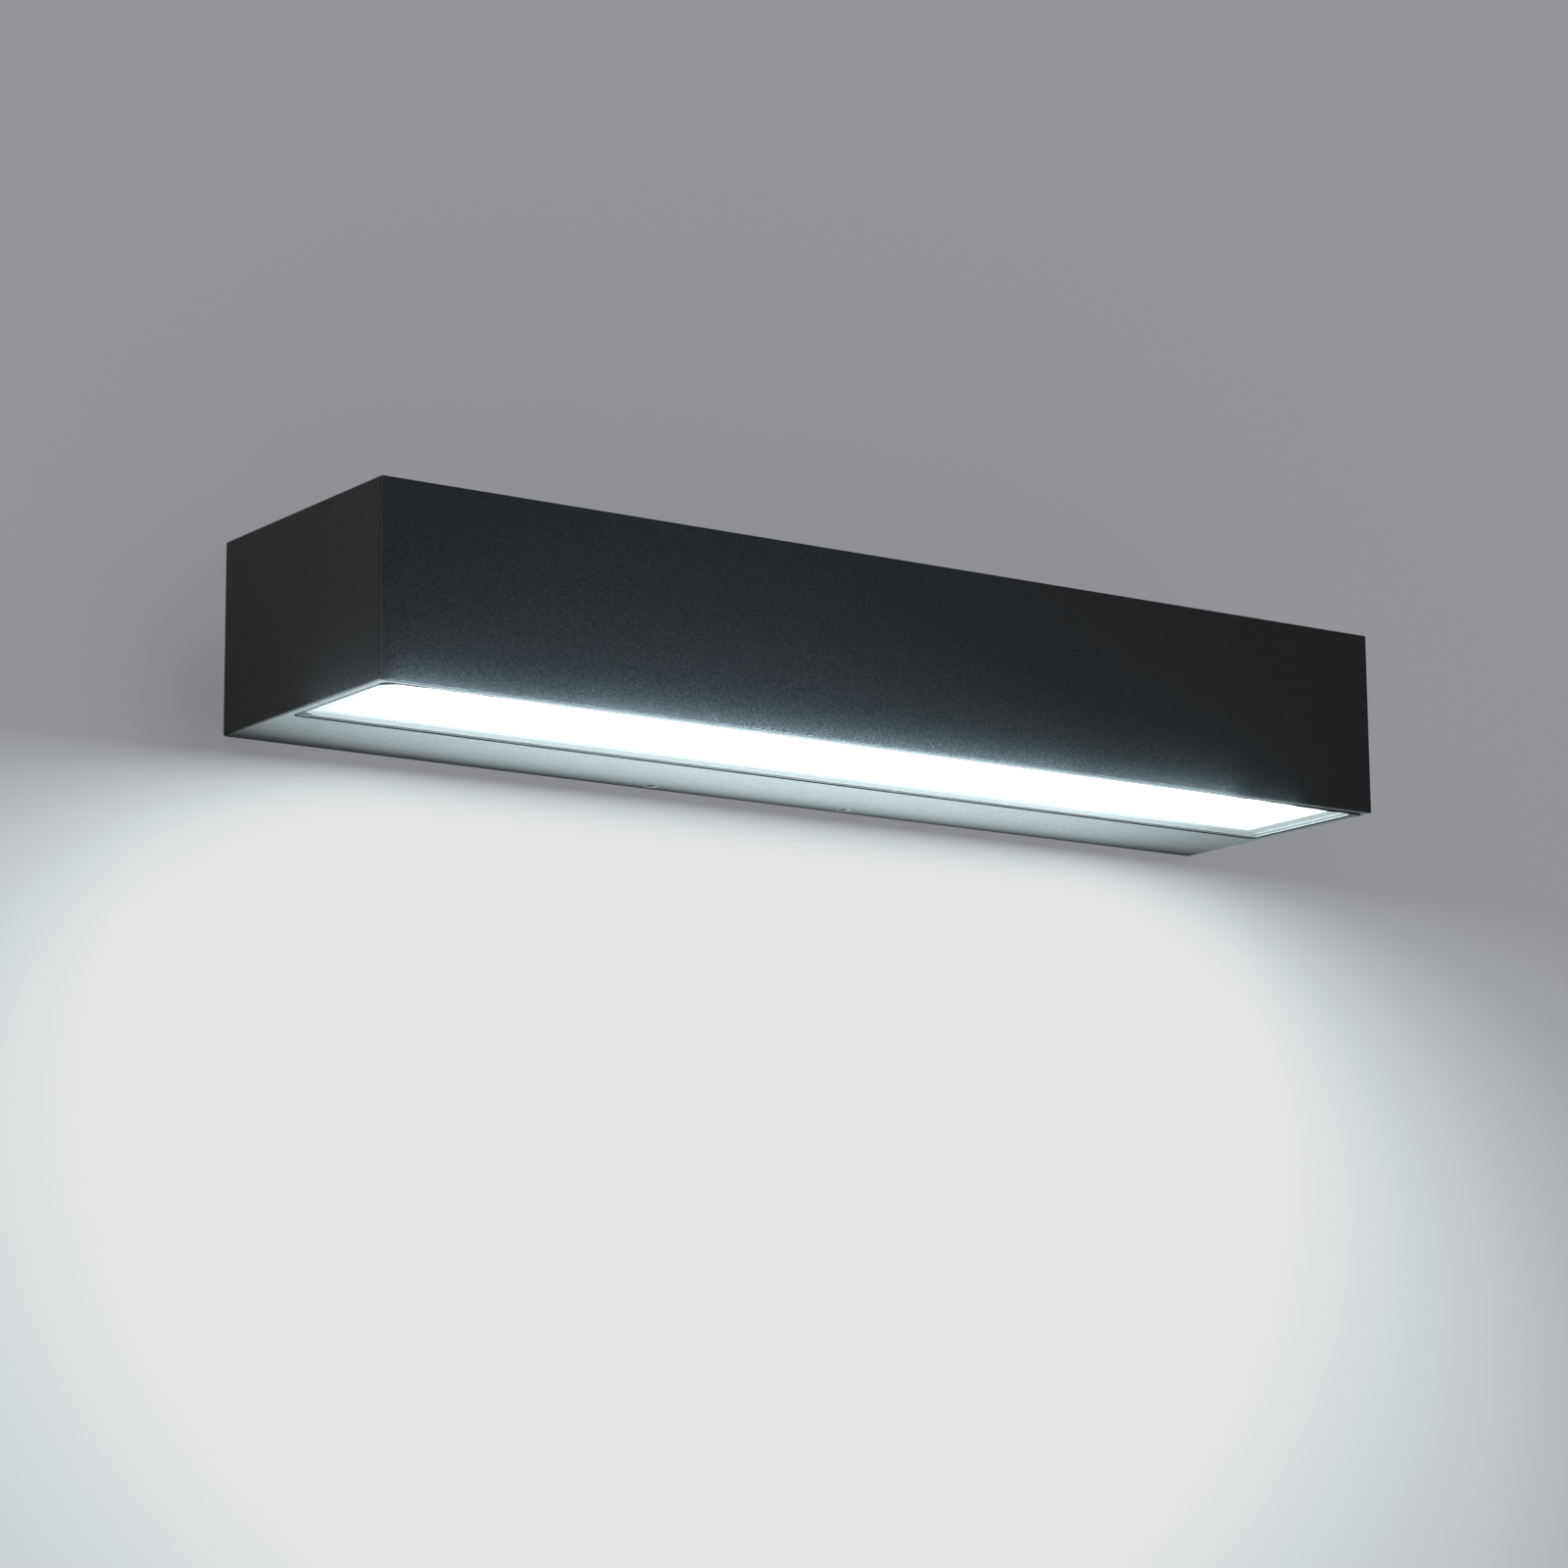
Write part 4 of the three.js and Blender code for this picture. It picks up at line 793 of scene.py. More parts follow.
SHARP_ANGLE = 35
MERGE_DISTANCE = 0.002 * MM
FLAT_ANGLE = 0.4


def smooth_piece(name: str, mesh: bpy.types.Mesh, sharp: float) -> bpy.types.Object:
    """Smooths a mesh between its sharp edges and puts it into the scene.

    Args:
        name: The new piece's name.
        mesh: Its mesh.
        sharp: The angle in degrees over which an edge stays sharp.

    Returns:
        The piece.
    """
    mesh.shade_smooth()
    mesh.set_sharp_from_angle(angle=math.radians(sharp))
    piece = bpy.data.objects.new(name, mesh)
    bpy.context.scene.collection.objects.link(piece)
    return piece


def settle(piece: bpy.types.Object, finish: Finish, node: str) -> None:
    """Dresses a piece that stands for a node, and lets it ride on the node's body.

    Its normals are weighed by face size, so that a large flat face stays flat up to its edge.

    Args:
        piece: The piece.
        finish: Its finish.
        node: The node.
    """
    piece.modifiers.new("flat_faces", "WEIGHTED_NORMAL").keep_sharp = True
    piece.data.materials.clear()
    piece.data.materials.append(finish.material())
    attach(piece, NODES[node]["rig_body"])
    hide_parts(node)
    LOG.info("%s: %d faces, %s", piece.name, len(piece.data.polygons), finish.name)


def mesh_piece(name: str, skin: Skin, finish: Finish, node: str) -> None:
    """Makes a piece from a skin, with its faces pointing out.

    Args:
        name: The piece's name.
        skin: Its skin.
        finish: Its finish.
        node: The node that it stands for.
    """
    mesh = bpy.data.meshes.new(name)
    mesh.from_pydata(skin.points.tolist(), [], skin.quads.tolist() + skin.ends)
    shape = bmesh.new()
    shape.from_mesh(mesh)
    bmesh.ops.recalc_face_normals(shape, faces=shape.faces)
    shape.to_mesh(mesh)
    shape.free()
    settle(smooth_piece(name, mesh, SHARP_ANGLE), finish, node)


@dataclass(frozen=True)
class EdgeBreak:
    """How a refined copy's sharp edges are broken.

    Attributes:
        width: How wide the rounding is.
        segments: How many faces it has across.
        angle: The angle in degrees over which an edge is rounded.
    """

    width: float = 0.2 * MM
    segments: int = 2
    angle: float = 40


def refined_copy(node: str, finish: Finish, edges: EdgeBreak = EdgeBreak()) -> None:
    """Copies a node, merges its triangles into plain faces and rounds its sharp edges.

    Args:
        node: The node.
        finish: The copy's finish.
        edges: How its edges are broken.
    """
    mesh = NODES[node].data.copy()
    shape = bmesh.new()
    shape.from_mesh(mesh)
    bmesh.ops.remove_doubles(shape, verts=shape.verts, dist=MERGE_DISTANCE)
    bmesh.ops.dissolve_limit(
        shape, angle_limit=math.radians(FLAT_ANGLE), verts=shape.verts, edges=shape.edges,
    )
    shape.to_mesh(mesh)
    shape.free()
    piece = smooth_piece(f"{node}_skin", mesh, edges.angle)
    bevel = piece.modifiers.new("edge_break", "BEVEL")
    bevel.width, bevel.segments = edges.width, edges.segments
    bevel.limit_method, bevel.angle_limit = "ANGLE", math.radians(edges.angle)
    settle(piece, finish, node)


def dress_node(node: str, finish: Finish) -> None:
    """Gives a node that stays its finish."""
    slots = NODES[node].data.materials
    slots.clear()
    slots.append(finish.material())


def stations(outline: Outline, *pairs: tuple[float, float]) -> list[Station]:
    """Stations of one outline, from pairs of a radius and a place."""
    return [(outline, *pair) for pair in pairs]


# The light


@dataclass
class Screws:
    """All the screws but the set screws, turned with their threads and drive recesses.

    Attributes:
        facing: The way that each kind of pan head faces.
        sizes: The height of a head and the radius of its shank.
        earth_sizes: The same for the earth screw.
        tip: The radius of the screw's tip, as a share of its shank's.
        thread_depth: How far a thread's roots lie under its crests.
        pitch: The rise of one turn.
        crown_share: How much of the head's height its rounded crown takes.
        crown_steps: How many rings draw the crown.
        crown_end: How far from the axis the crown aims to end, as a share of the recess's reach.
        crown_fall: How much of the way to there it goes.
        recess_depth: How deep a cross recess is.
        recess_share: The reach of the recess's arms, as a share of the head's radius.
        recess: The recess's walls, as pairs of shares of that reach and of that depth.
        recess_floor: The radius of the recess's floor, as a share of the shank's.
    """

    facing: dict[str, Triple] = field(default_factory=lambda: {
        "cover_screw": BACK, "block_screw": BACK, "earth_screw": BACK,
        "tray_screw": UP, "driver_screw": UP, "board_screw": DOWN,
    })
    sizes: tuple[float, float] = (2.0 * MM, 1.5 * MM)
    earth_sizes: tuple[float, float] = (2.6 * MM, 2.0 * MM)
    tip: float = 0.55
    thread_depth: float = 0.22 * MM
    pitch: float = 0.6 * MM
    crown_share: float = 0.55
    crown_steps: int = 5
    crown_end: float = 1.08
    crown_fall: float = 0.9
    recess_depth: float = 1.1 * MM
    recess_share: float = 0.56
    recess: tuple[tuple[float, float], ...] = ((1.0, 0.0), (0.8, 0.7), (0.35, 1.0))
    recess_floor: float = 0.05

    def build(self) -> None:
        """Makes every pan-head screw, and dresses the pole screws."""
        for node in sorted(NODES):
            kind = next((kind for kind in self.facing if node.startswith(kind)), None)
            if kind is not None:
                self._pan_head(node, Vector(self.facing[kind]))
            elif node.startswith("pole_screw"):
                dress_node(node, ZINC_SCREW)

    def _pan_head(self, node: str, axis: Vector) -> None:
        """Turns one pan-head screw.

        Args:
            node: The screw's node.
            axis: The direction in which its head points.
        """
        low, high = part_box(node)
        span = high - low
        way = max(range(3), key=lambda i: abs(axis[i]))
        length = span[way]
        head = max(span[i] for i in range(3) if i != way) / 2
        head_height, shank = self.earth_sizes if node == "earth_screw" else self.sizes
        neck = length - head_height
        crown = head_height * self.crown_share
        reach = head * self.recess_share
        turns = np.linspace(0, TAU / 4, self.crown_steps + 1)[1:]
        drawn_in = (head - reach * self.crown_end) * self.crown_fall * (1 - np.cos(turns))
        profile = stations(
            Outline.ROUND, (shank * self.tip, 0), (shank, self.pitch), (shank, neck), (head, neck),
            (head, length - crown), *zip(head - drawn_in, length - crown + crown * np.sin(turns)),
        )
        profile += stations(Outline.CROSS, *(
            (reach * share, length - self.recess_depth * deep) for share, deep in self.recess))
        profile += stations(
            Outline.ROUND, (shank * self.recess_floor, length - self.recess_depth))
        thread = Thread(self.pitch, neck - self.pitch, self.pitch, self.thread_depth)
        tip = (low + high) / 2 - axis * (length / 2)
        skin = Turned(profile, thread=thread).skin(tip, axis)
        mesh_piece(f"{node}_turned", skin, ZINC_SCREW, node)


def bump(rows: np.ndarray, x: float, y: float, radius: float) -> np.ndarray:
    """A round bump seen from above, exp(-(away / radius)^2).

    Args:
        rows: The points.
        x: The bump's middle along X.
        y: Its middle along Y.
        radius: Its radius.

    Returns:
        The bump's share at each point.
    """
    return np.exp(-((rows[..., 0] - x) ** 2 + (rows[..., 1] - y) ** 2) / radius ** 2)


@dataclass
class LightOpening:
    """The pane, its silicone bead and the lit diffuser above it.

    Attributes:
        corner: The pane's corner radius.
        arris: The width of its polished arris.
        arris_steps: How many loops draw the arris.
        seat: The clearance round the pane.
        lip: The thickness of the bead's lip between pane and ledge.
        borders: How far the lip reaches in from the pane's ends, its front edge and its rear edge.
        window_corner: The corner radius of the window.
        pocket_corner: How much larger the bead's outer corner radius is than the pane's.
        section: The bead's lower face, from the pocket's wall in to the pane's underside: how far
            from the clearance's edge as a share of the way to the wall, how high over the pane's
            underside, and the share of the waves that it takes.
        top_gap: How far under the clearance over the pane the bead's inner side ends.
        wave: How far the bead's surface waves up and down.
        wave_lengths: The lengths of its slow and its quick wave.
        wave_slant: How much the quick wave turns for each metre along Y.
        wave_limits: The lowest and the highest that the surface goes by its waves and drips.
        residue: Places along the rear side where a smear of silicone is left.
        residue_drop: How far it hangs down there.
        residue_width: How wide such a smear is.
        soft_edges: Over how much depth the front's and the rear's drips fade at the pane's edges.
        nibs: The corners with a blob of silicone, 1 for right or rear and -1 for left or front.
        nib_drop: How far the blobs hang down.
        nib_radius: How wide they are.
        nib_inset: How far in from the corner they sit, as a share of that.
        smear: How far they have spread under the glass.
        spill: How far the blob at the front's right end has spread over the casing's rim.
        spill_drop: How far down it hangs there.
        sags: Where the bead sags on the front side: from, to, and how far at each of them.
        sag_ramp: Over how much length a sag ends.
        tray_rim: The thickness of the diffuser's rim, and how far it stands over the ledge.
        tray_wall: The thickness of its walls.
        tray_face: The thickness of its face.
        tray_edge: The width of the rounding round its face.
        tray_bow: How near that rounding's middle comes to the corner that it takes off.
        tray_corner: The smallest corner radius on its inside.
    """

    corner: float = 1.5 * MM
    arris: float = 0.3 * MM
    arris_steps: int = 5
    seat: float = 0.3 * MM
    lip: float = 0.6 * MM
    borders: Triple = (7.0 * MM, 2.8 * MM, 5.0 * MM)
    window_corner: float = 2.0 * MM
    pocket_corner: float = 0.9 * MM
    section: tuple[Triple, ...] = (
        (1.0, 0.45 * MM, 0.1), (0.8, 0.15 * MM, 0.8), (0.5, 0.0, 1.0), (0.2, -0.04 * MM, 0.8),
        (-0.25, -0.08 * MM, 0.3), (-0.5, -0.02 * MM, 0.0), (0.0, -0.02 * MM, 0.0),
    )
    top_gap: float = 0.1 * MM
    wave: float = 0.12 * MM
    wave_lengths: tuple[float, float] = (37 * MM, 13.1 * MM)
    wave_slant: float = 400
    wave_limits: tuple[float, float] = (-0.3 * MM, 0.2 * MM)
    residue: tuple[float, ...] = (-75 * MM, -29 * MM)
    residue_drop: float = 0.25 * MM
    residue_width: float = 1.6 * MM
    soft_edges: tuple[float, float] = (0.2 * MM, 0.3 * MM)
    nibs: tuple[tuple[int, int], ...] = ((1, -1), (-1, -1), (-1, 1))
    nib_drop: float = 0.75 * MM
    nib_radius: float = 2.0 * MM
    nib_inset: float = 0.6
    smear: float = 2.1 * MM
    spill: float = 2.0 * MM
    spill_drop: float = 0.85 * MM
    sags: tuple[tuple[float, float, float, float], ...] = (
        (-197 * MM, -130 * MM, 0.4 * MM, 0.0), (118 * MM, 197 * MM, 0.0, 0.95 * MM),
    )
    sag_ramp: float = 1 * MM
    tray_rim: float = 1.2 * MM
    tray_wall: float = 1.5 * MM
    tray_face: float = 2.0 * MM
    tray_edge: float = 0.5 * MM
    tray_bow: float = 0.15 * MM
    tray_corner: float = 0.4 * MM

    def build(self) -> None:
        """Makes the pane, the bead and the diffuser."""
        self._pane()
        self._bead()
        self._diffuser()
        dress_node("reflector", WHITE_PAINT)

    def _pane(self) -> None:
        """The pane: loops stepped in by 1 - sin at the arris and up by 1 - cos, closed flat."""
        low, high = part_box("pane")
        turns = np.linspace(0, TAU / 4, self.arris_steps)
        inset, rise = (1 - np.sin(turns)) * self.arris, (1 - np.cos(turns)) * self.arris
        insets = np.concatenate([inset, inset[::-1]])
        heights = np.concatenate([low.z + rise, (high.z - rise)[::-1]])
        rows = np.stack([
            rounded_loop(
                (low.x + step, low.y + step), (high.x - step, high.y - step),
                self.corner - step / 2, height, Steps(corner=8),
            ) for step, height in zip(insets, heights)
        ])
        mesh_piece("pane_polished", lofted(rows), GLASS, "pane")

    def _bead(self) -> None:
        """The bead's section carried round the pane, with its lower face waved and blobbed."""
        low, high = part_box("pane")
        seal_low, seal_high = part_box("pane_seal")
        steps = Steps(corner=8, long=200, short=36)
        inner = np.array([low.x, low.y, -high.x, -high.y]) - self.seat
        outer = np.array([seal_low.x, seal_low.y, -seal_high.x, -seal_high.y])

        def loop(reach: float, z: float) -> np.ndarray:
            """A loop between the clearance's edge, reach 0, and the pocket's wall, reach 1."""
            edges = inner + (outer - inner) * reach
            radius = self.corner + self.seat + (self.pocket_corner - self.seat) * reach
            return rounded_loop(edges[:2], -edges[2:], radius, z, steps)

        end, front, rear = self.borders
        window = rounded_loop(
            (low.x + end, low.y + front), (high.x - end, high.y - rear),
            self.window_corner, seal_high.z - self.lip, steps,
        )
        rows = np.stack([loop(reach, low.z + over) for reach, over, _ in self.section] + [
            loop(0, high.z + self.seat - self.top_gap), window,
            window + np.array([0, 0, self.lip]), loop(1, seal_high.z),
        ])
        under = rows[4:6]
        inward = np.sign(np.array([low.x + high.x, low.y + high.y]) / 2 - under[..., :2])
        under[..., :2] += inward * self.smear * self._blobs(under, low, high)[..., None]
        taken = np.array([share for _, _, share in self.section])[:, None]
        lower = rows[:len(taken)]
        lower[..., 2] += taken * self._unevenness(lower, low, high)
        spilled = rows[1:4]
        share = bump(spilled, high.x, low.y, self.nib_radius)
        spilled[..., 0] += self.spill * share
        spilled[..., 2] = np.minimum(spilled[..., 2], low.z - self.spill_drop * share)
        mesh_piece("pane_bead", lofted(rows, closed=True), SILICONE, "pane_seal")

    def _unevenness(self, rows: np.ndarray, low: Vector, high: Vector) -> np.ndarray:
        """Rise and fall of the bead: slow and quick waves, drips at the rear, blobs and sags.

        Args:
            rows: The points of its lower face.
            low: The pane's lowest corner.
            high: The pane's highest corner.

        Returns:
            How far each point rises.
        """
        x, y = rows[..., 0], rows[..., 1]
        slow, quick = self.wave_lengths
        rise = self.wave / 2 * (
            np.sin(x * TAU / slow) + np.sin(x * TAU / quick + y * self.wave_slant))
        front_soft, rear_soft = self.soft_edges
        rear = 1 / (1 + np.exp(-(y - high.y) / rear_soft))
        for place in self.residue:
            smear = np.exp(-((x - place) / self.residue_width) ** 2)
            rise = rise - self.residue_drop * rear * smear
        drop = self._blobs(rows, low, high) * self.nib_drop
        front = 1 / (1 + np.exp((y - low.y) / front_soft))
        for start, end, first, last in self.sags:
            places = (start - self.sag_ramp, start, end, end + self.sag_ramp)
            drop = np.maximum(drop, np.interp(x, places, (0, first, last, 0)) * front)
        return np.clip(rise, *self.wave_limits) - drop

    def _blobs(self, rows: np.ndarray, low: Vector, high: Vector) -> np.ndarray:
        """How near each point is to a blob, as the sum of their bumps.

        Args:
            rows: The points.
            low: The pane's lowest corner.
            high: The pane's highest corner.

        Returns:
            The sum at each point.
        """
        inset = self.nib_radius * self.nib_inset
        return sum(
            bump(
                rows, (high.x if right > 0 else low.x) - right * inset,
                (high.y if rear > 0 else low.y) - rear * inset, self.nib_radius,
            ) for right, rear in self.nibs
        )

    def _diffuser(self) -> None:
        """The diffuser: the loops of a tray, from its face up the outside, over the rim and in."""
        low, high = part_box("opal_diffuser")
        rim = self.tray_rim + self.seat
        radius = self.window_corner - self.seat

        def loop(inset: float, z: float) -> np.ndarray:
            """A loop a given way in from the body's outside."""
            step = rim + inset
            return rounded_loop(
                (low.x + step, low.y + step), (high.x - step, high.y - step),
                max(radius - inset, self.tray_corner), z, Steps(corner=8),
            )

        under_rim = high.z - self.tray_rim
        rows = np.stack([
            loop(self.tray_edge, low.z), loop(self.tray_bow, low.z + self.tray_bow),
            loop(0, low.z + self.tray_edge), loop(0, under_rim), loop(-rim, under_rim),
            loop(-rim, high.z), loop(self.tray_wall, high.z),
            loop(self.tray_wall, low.z + self.tray_face),
        ])
        mesh_piece("diffuser_tray", lofted(rows), OPAL, "opal_diffuser")


@dataclass
class Casing:
    """The coated housing, and the cover and seal that close it at the back."""

    housing_edges: EdgeBreak = EdgeBreak(width=0.22 * MM)
    cover_edges: EdgeBreak = EdgeBreak(width=0.25 * MM)

    def build(self) -> None:
        """Refines the housing and the cover, and dresses the seal."""
        refined_copy("housing", COAT, self.housing_edges)
        refined_copy("rear_cover", ALUMINIUM, self.cover_edges)
        dress_node("cover_seal", RUBBER)


@dataclass
class Gear:
    """What the housing holds: tray, board, driver, block and leads."""

    edges: EdgeBreak = EdgeBreak(width=0.3 * MM)

    def build(self) -> None:
        """Refines the moulded and bent pieces, and dresses the rest."""
        refined_copy("gear_tray", ALUMINIUM, self.edges)
        refined_copy("driver_case", NYLON, self.edges)
        refined_copy("driver_lid", NYLON, self.edges)
        refined_copy("terminal_block", WHITE_PLASTIC, self.edges)
        dress_node("lamp_board", BOARD)
        for node, finish in LEADS.items():
            dress_node(node, finish)


@dataclass
class Gland:
    """The cable gland: body, locknut, rubber ring and domed nut.

    Attributes:
        body_edges: How the body's edges are broken.
        bore: The radius of the nut's bore.
        mouth: The radius of its opening.
        lip: The thickness of its lip.
        chamfer: The chamfer at its open end.
        dome_share: How far along the nut its dome starts.
        dome_end: The radius to which the dome draws in.
        dome_steps: How many rings draw the dome.
        ribbed_steps: How many of them still have ribs.
        sides: How many points go round the nut.
    """

    body_edges: EdgeBreak = EdgeBreak(width=0.3 * MM)
    bore: float = 8.3 * MM
    mouth: float = 4.3 * MM
    lip: float = 1.5 * MM
    chamfer: float = 0.2 * MM
    dome_share: float = 0.5
    dome_end: float = 7.6 * MM
    dome_steps: int = 8
    ribbed_steps: int = 6
    sides: int = 96

    def build(self) -> None:
        """Turns the domed nut with its finger ribs, and refines or dresses the others."""
        refined_copy("gland_body", NYLON, self.body_edges)
        refined_copy("gland_locknut", NYLON)
        dress_node("gland_insert", RUBBER)
        self._dome_nut()

    def _dome_nut(self) -> None:
        """The nut: ribbed outside, a quarter-ellipse dome, and a bore that steps in at the lip."""
        low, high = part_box("gland_nut")
        radius = (high.x - low.x) / 2
        length = high.y - low.y
        start = length * self.dome_share
        turns = np.linspace(0, TAU / 4, self.dome_steps + 1)[1:]
        dome = list(zip(
            radius - (radius - self.dome_end) * (1 - np.cos(turns)),
            start + (length - start) * np.sin(turns),
        ))
        ribbed, plain = dome[:self.ribbed_steps], dome[self.ribbed_steps:]
        profile = stations(Outline.ROUND, (self.bore, 0)) + stations(
            Outline.RIBBED, (radius - self.chamfer, 0), (radius, self.chamfer), (radius, start),
            *ribbed,
        ) + stations(
            Outline.ROUND, *plain, (self.mouth, length), (self.mouth, length - self.lip),
            (self.bore, length - self.lip),
        )
        centre = Vector(((low.x + high.x) / 2, low.y, (low.z + high.z) / 2))
        skin = Turned(profile, sides=self.sides, closed=True).skin(centre, Vector(BACK))
        mesh_piece("gland_dome_nut", skin, NYLON, "gland_nut")


@dataclass
class WallFixing:
    """The bracket on the wall and the two set screws that lock the light to it.

    Attributes:
        edges: How the bracket's edges are broken.
        socket_radius: The corner radius of the hexagon socket.
        socket_depth: How deep the socket is.
        pitch: The rise of one turn of the stem's thread.
        thread_depth: How far that thread's roots lie under its crests.
        chamfer: The chamfer at the cup point.
        cup: The cup's inner and outer radius, as shares of the screw's.
        rim: The chamfer round the socket.
        bottom: The radius of the stem, and of the socket's bottom.
        socket_cone: How deep the cone under the socket is.
    """

    edges: EdgeBreak = EdgeBreak(width=0.18 * MM)
    socket_radius: float = 1.15 * MM
    socket_depth: float = 1.8 * MM
    pitch: float = 0.7 * MM
    thread_depth: float = 0.25 * MM
    chamfer: float = 0.4 * MM
    cup: tuple[float, float] = (0.55, 0.7)
    rim: float = 0.12 * MM
    bottom: float = 0.1 * MM
    socket_cone: float = 0.3 * MM

    def build(self) -> None:
        """Refines the bracket and turns the set screws."""
        refined_copy("wall_bracket", ZINC_SHEET, self.edges)
        for side in ("left", "right"):
            self._set_screw(f"set_screw_{side}")

    def _set_screw(self, node: str) -> None:
        """One set screw: a cup point at the top, a threaded stem within, and a hexagon socket."""
        low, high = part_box(node)
        radius = (high.x - low.x) / 2
        length = high.z - low.z
        floor = length - self.socket_depth
        profile = stations(
            Outline.ROUND, (self.bottom, self.chamfer), (radius * self.cup[0], 0),
            (radius * self.cup[1], 0), (radius, self.chamfer), (radius, length - self.rim),
            (radius - self.rim, length),
        )
        profile += stations(
            Outline.HEXAGON, (self.socket_radius, length), (self.socket_radius, floor))
        profile += stations(Outline.ROUND, (self.bottom, floor - self.socket_cone))
        thread = Thread(self.chamfer, length - self.chamfer, self.pitch, self.thread_depth)
        top = Vector(((low.x + high.x) / 2, (low.y + high.y) / 2, high.z))
        skin = Turned(profile, thread=thread).skin(top, Vector(DOWN))
        mesh_piece(f"{node}_turned", skin, BLACK_SCREW, node)


# The stage


@dataclass(frozen=True)
class Pool:
    """The pool of light on the wall under the lamp.

    The pool starts at a shallow arch and grows as 1 - exp(-(depth / scale)^power), where the scale
    widens with the distance past the lamp's end, and it fades far from the pool's middle.

    Attributes:
        top: The height of the arch's peak.
        peak: Where along X that peak is.
        bend: How much the arch falls, for each squared metre from its peak.
        power: How slowly the pool starts under the arch.
        half: Half the length over which the pool starts at its sharpest.
        scales: The scale at the lamp, and its growth with the square of the distance.
        middle: The middle of the pool, x and z.
        reach: Half the pool's width and height, where it starts to fade.
        start: Where it starts to fade, as a share of the reach.
        fade: How fast it fades from there.
        plateau: The colour of the full pool.
        full: The share from which the pool turns to that colour.
        fringe: The colour of its edge.
        mirror_gain: How much stronger glossy surfaces see its middle.
        mirror_polished: The share of that gain that polished surfaces see.
        mirror_middle: Where along X that gain is greatest for the others.
        mirror_half: How far from there it has fallen to a third.
        mirror_lift: How much higher the pool starts in reflections.
        mirror_tint: The tint of the pool in reflections.
    """

    top: float = -0.0344
    peak: float = 0.071
    bend: float = 0.0237
    power: float = 1.23
    half: float = 0.1393
    scales: tuple[float, float] = (0.0053, 1.69)
    middle: tuple[float, float] = (-0.0019, -0.1383)
    reach: tuple[float, float] = (0.252, 0.2037)
    start: float = 0.954
    fade: float = 0.87
    plateau: Colour = (0.797, 0.797, 0.797)
    full: float = 0.8
    fringe: Colour = (0.725, 0.79, 0.80)
    mirror_gain: float = 6.4
    mirror_polished: float = 0.34
    mirror_middle: float = 0.012
    mirror_half: float = 0.25
    mirror_lift: float = 0.0020
    mirror_tint: Colour = (0.86, 1.03, 1.06)

    def share(self, graph: Graph) -> Socket:
        """How full the pool is at each point of the wall, as the description says."""
        x, _, z = graph.axes()
        aside = graph.minus(x, self.peak)
        arch = graph.math("MULTIPLY_ADD", graph.times(aside, aside), -self.bend, self.top)
        start = graph.math("MULTIPLY_ADD", graph.ray("Glossy"), self.mirror_lift, arch)
        depth = graph.over_zero(graph.minus(start, z))
        past = graph.over_zero(graph.minus(graph.math("ABSOLUTE", x), self.half))
        near, growth = self.scales
        scale = graph.math("MULTIPLY_ADD", graph.times(past, growth), past, near)
        deep = graph.math("POWER", graph.math("DIVIDE", depth, scale), self.power)
        rise = graph.minus(1, graph.falling(deep))
        across = graph.away(x, self.middle[0], self.reach[0])
        down = graph.away(z, self.middle[1], self.reach[1])
        span = graph.math("SQRT", graph.squares(across, down))
        faded = graph.times(graph.over_zero(graph.minus(span, self.start)), self.fade)
        kept = graph.math("SUBTRACT", 1, faded, clamp=True)
        return graph.math("MULTIPLY", rise, kept, clamp=True)

    def gain(self, graph: Graph) -> Socket:
        """How much stronger reflections see it: 1 + (gain - 1) * exp(-((x - middle) / half)^2)."""
        side = graph.away(graph.axes()[0], self.mirror_middle, self.mirror_half)
        polished = graph.ray("Singular")
        dull = graph.times(graph.minus(1, polished), graph.falling(graph.times(side, side)))
        seen = graph.math("MULTIPLY_ADD", polished, self.mirror_polished, dull)
        extra = graph.times(graph.times(seen, self.mirror_gain - 1), graph.ray("Glossy"))
        return graph.math("ADD", extra, 1)


@dataclass(frozen=True)
class Shade:
    """The soft shade on the wall beside the lamp's left end, 1 - depth * exp(-(away / reach)^2).

    Attributes:
        middle: Its middle, x and z.
        reach: How far it reaches, along X and Z.
        depth: How much light it takes at its middle.
    """

    middle: tuple[float, float] = (-0.205, -0.024)
    reach: tuple[float, float] = (0.025, 0.033)
    depth: float = 0.22

    def share(self, graph: Graph) -> Socket:
        """How much light it leaves at each point of the wall."""
        x, _, z = graph.axes()
        across = graph.away(x, self.middle[0], self.reach[0])
        down = graph.away(z, self.middle[1], self.reach[1])
        return graph.math(
            "MULTIPLY_ADD", graph.falling(graph.squares(across, down)), -self.depth, 1)


@dataclass(frozen=True)
class Lamp:
    """A soft lamp that can't be seen itself.

    Attributes:
        place: Its middle.
        aim: The point that it faces.
        length: Its length.
        watts: Its power.
        width: Its width, if it isn't square.
        colour: Its colour.
    """

    place: Triple
    aim: Triple
    length: float
    watts: float
    width: float | None = None
    colour: Colour = (1, 1, 1)

    def build(self, name: str) -> bpy.types.Object:
        """Puts the lamp into the scene under the given name, and returns it."""
        light = bpy.data.lights.new(name, "AREA")
        light.size, light.energy, light.color = self.length, self.watts, self.colour
        if self.width is not None:
            light.shape, light.size_y = "RECTANGLE", self.width
        lamp = bpy.data.objects.new(name, light)
        lamp.location = self.place
        way = Vector(self.aim) - Vector(self.place)
        lamp.rotation_euler = way.to_track_quat("-Z", "Y").to_euler()
        lamp.visible_camera = False
        bpy.context.scene.collection.objects.link(lamp)
        return lamp


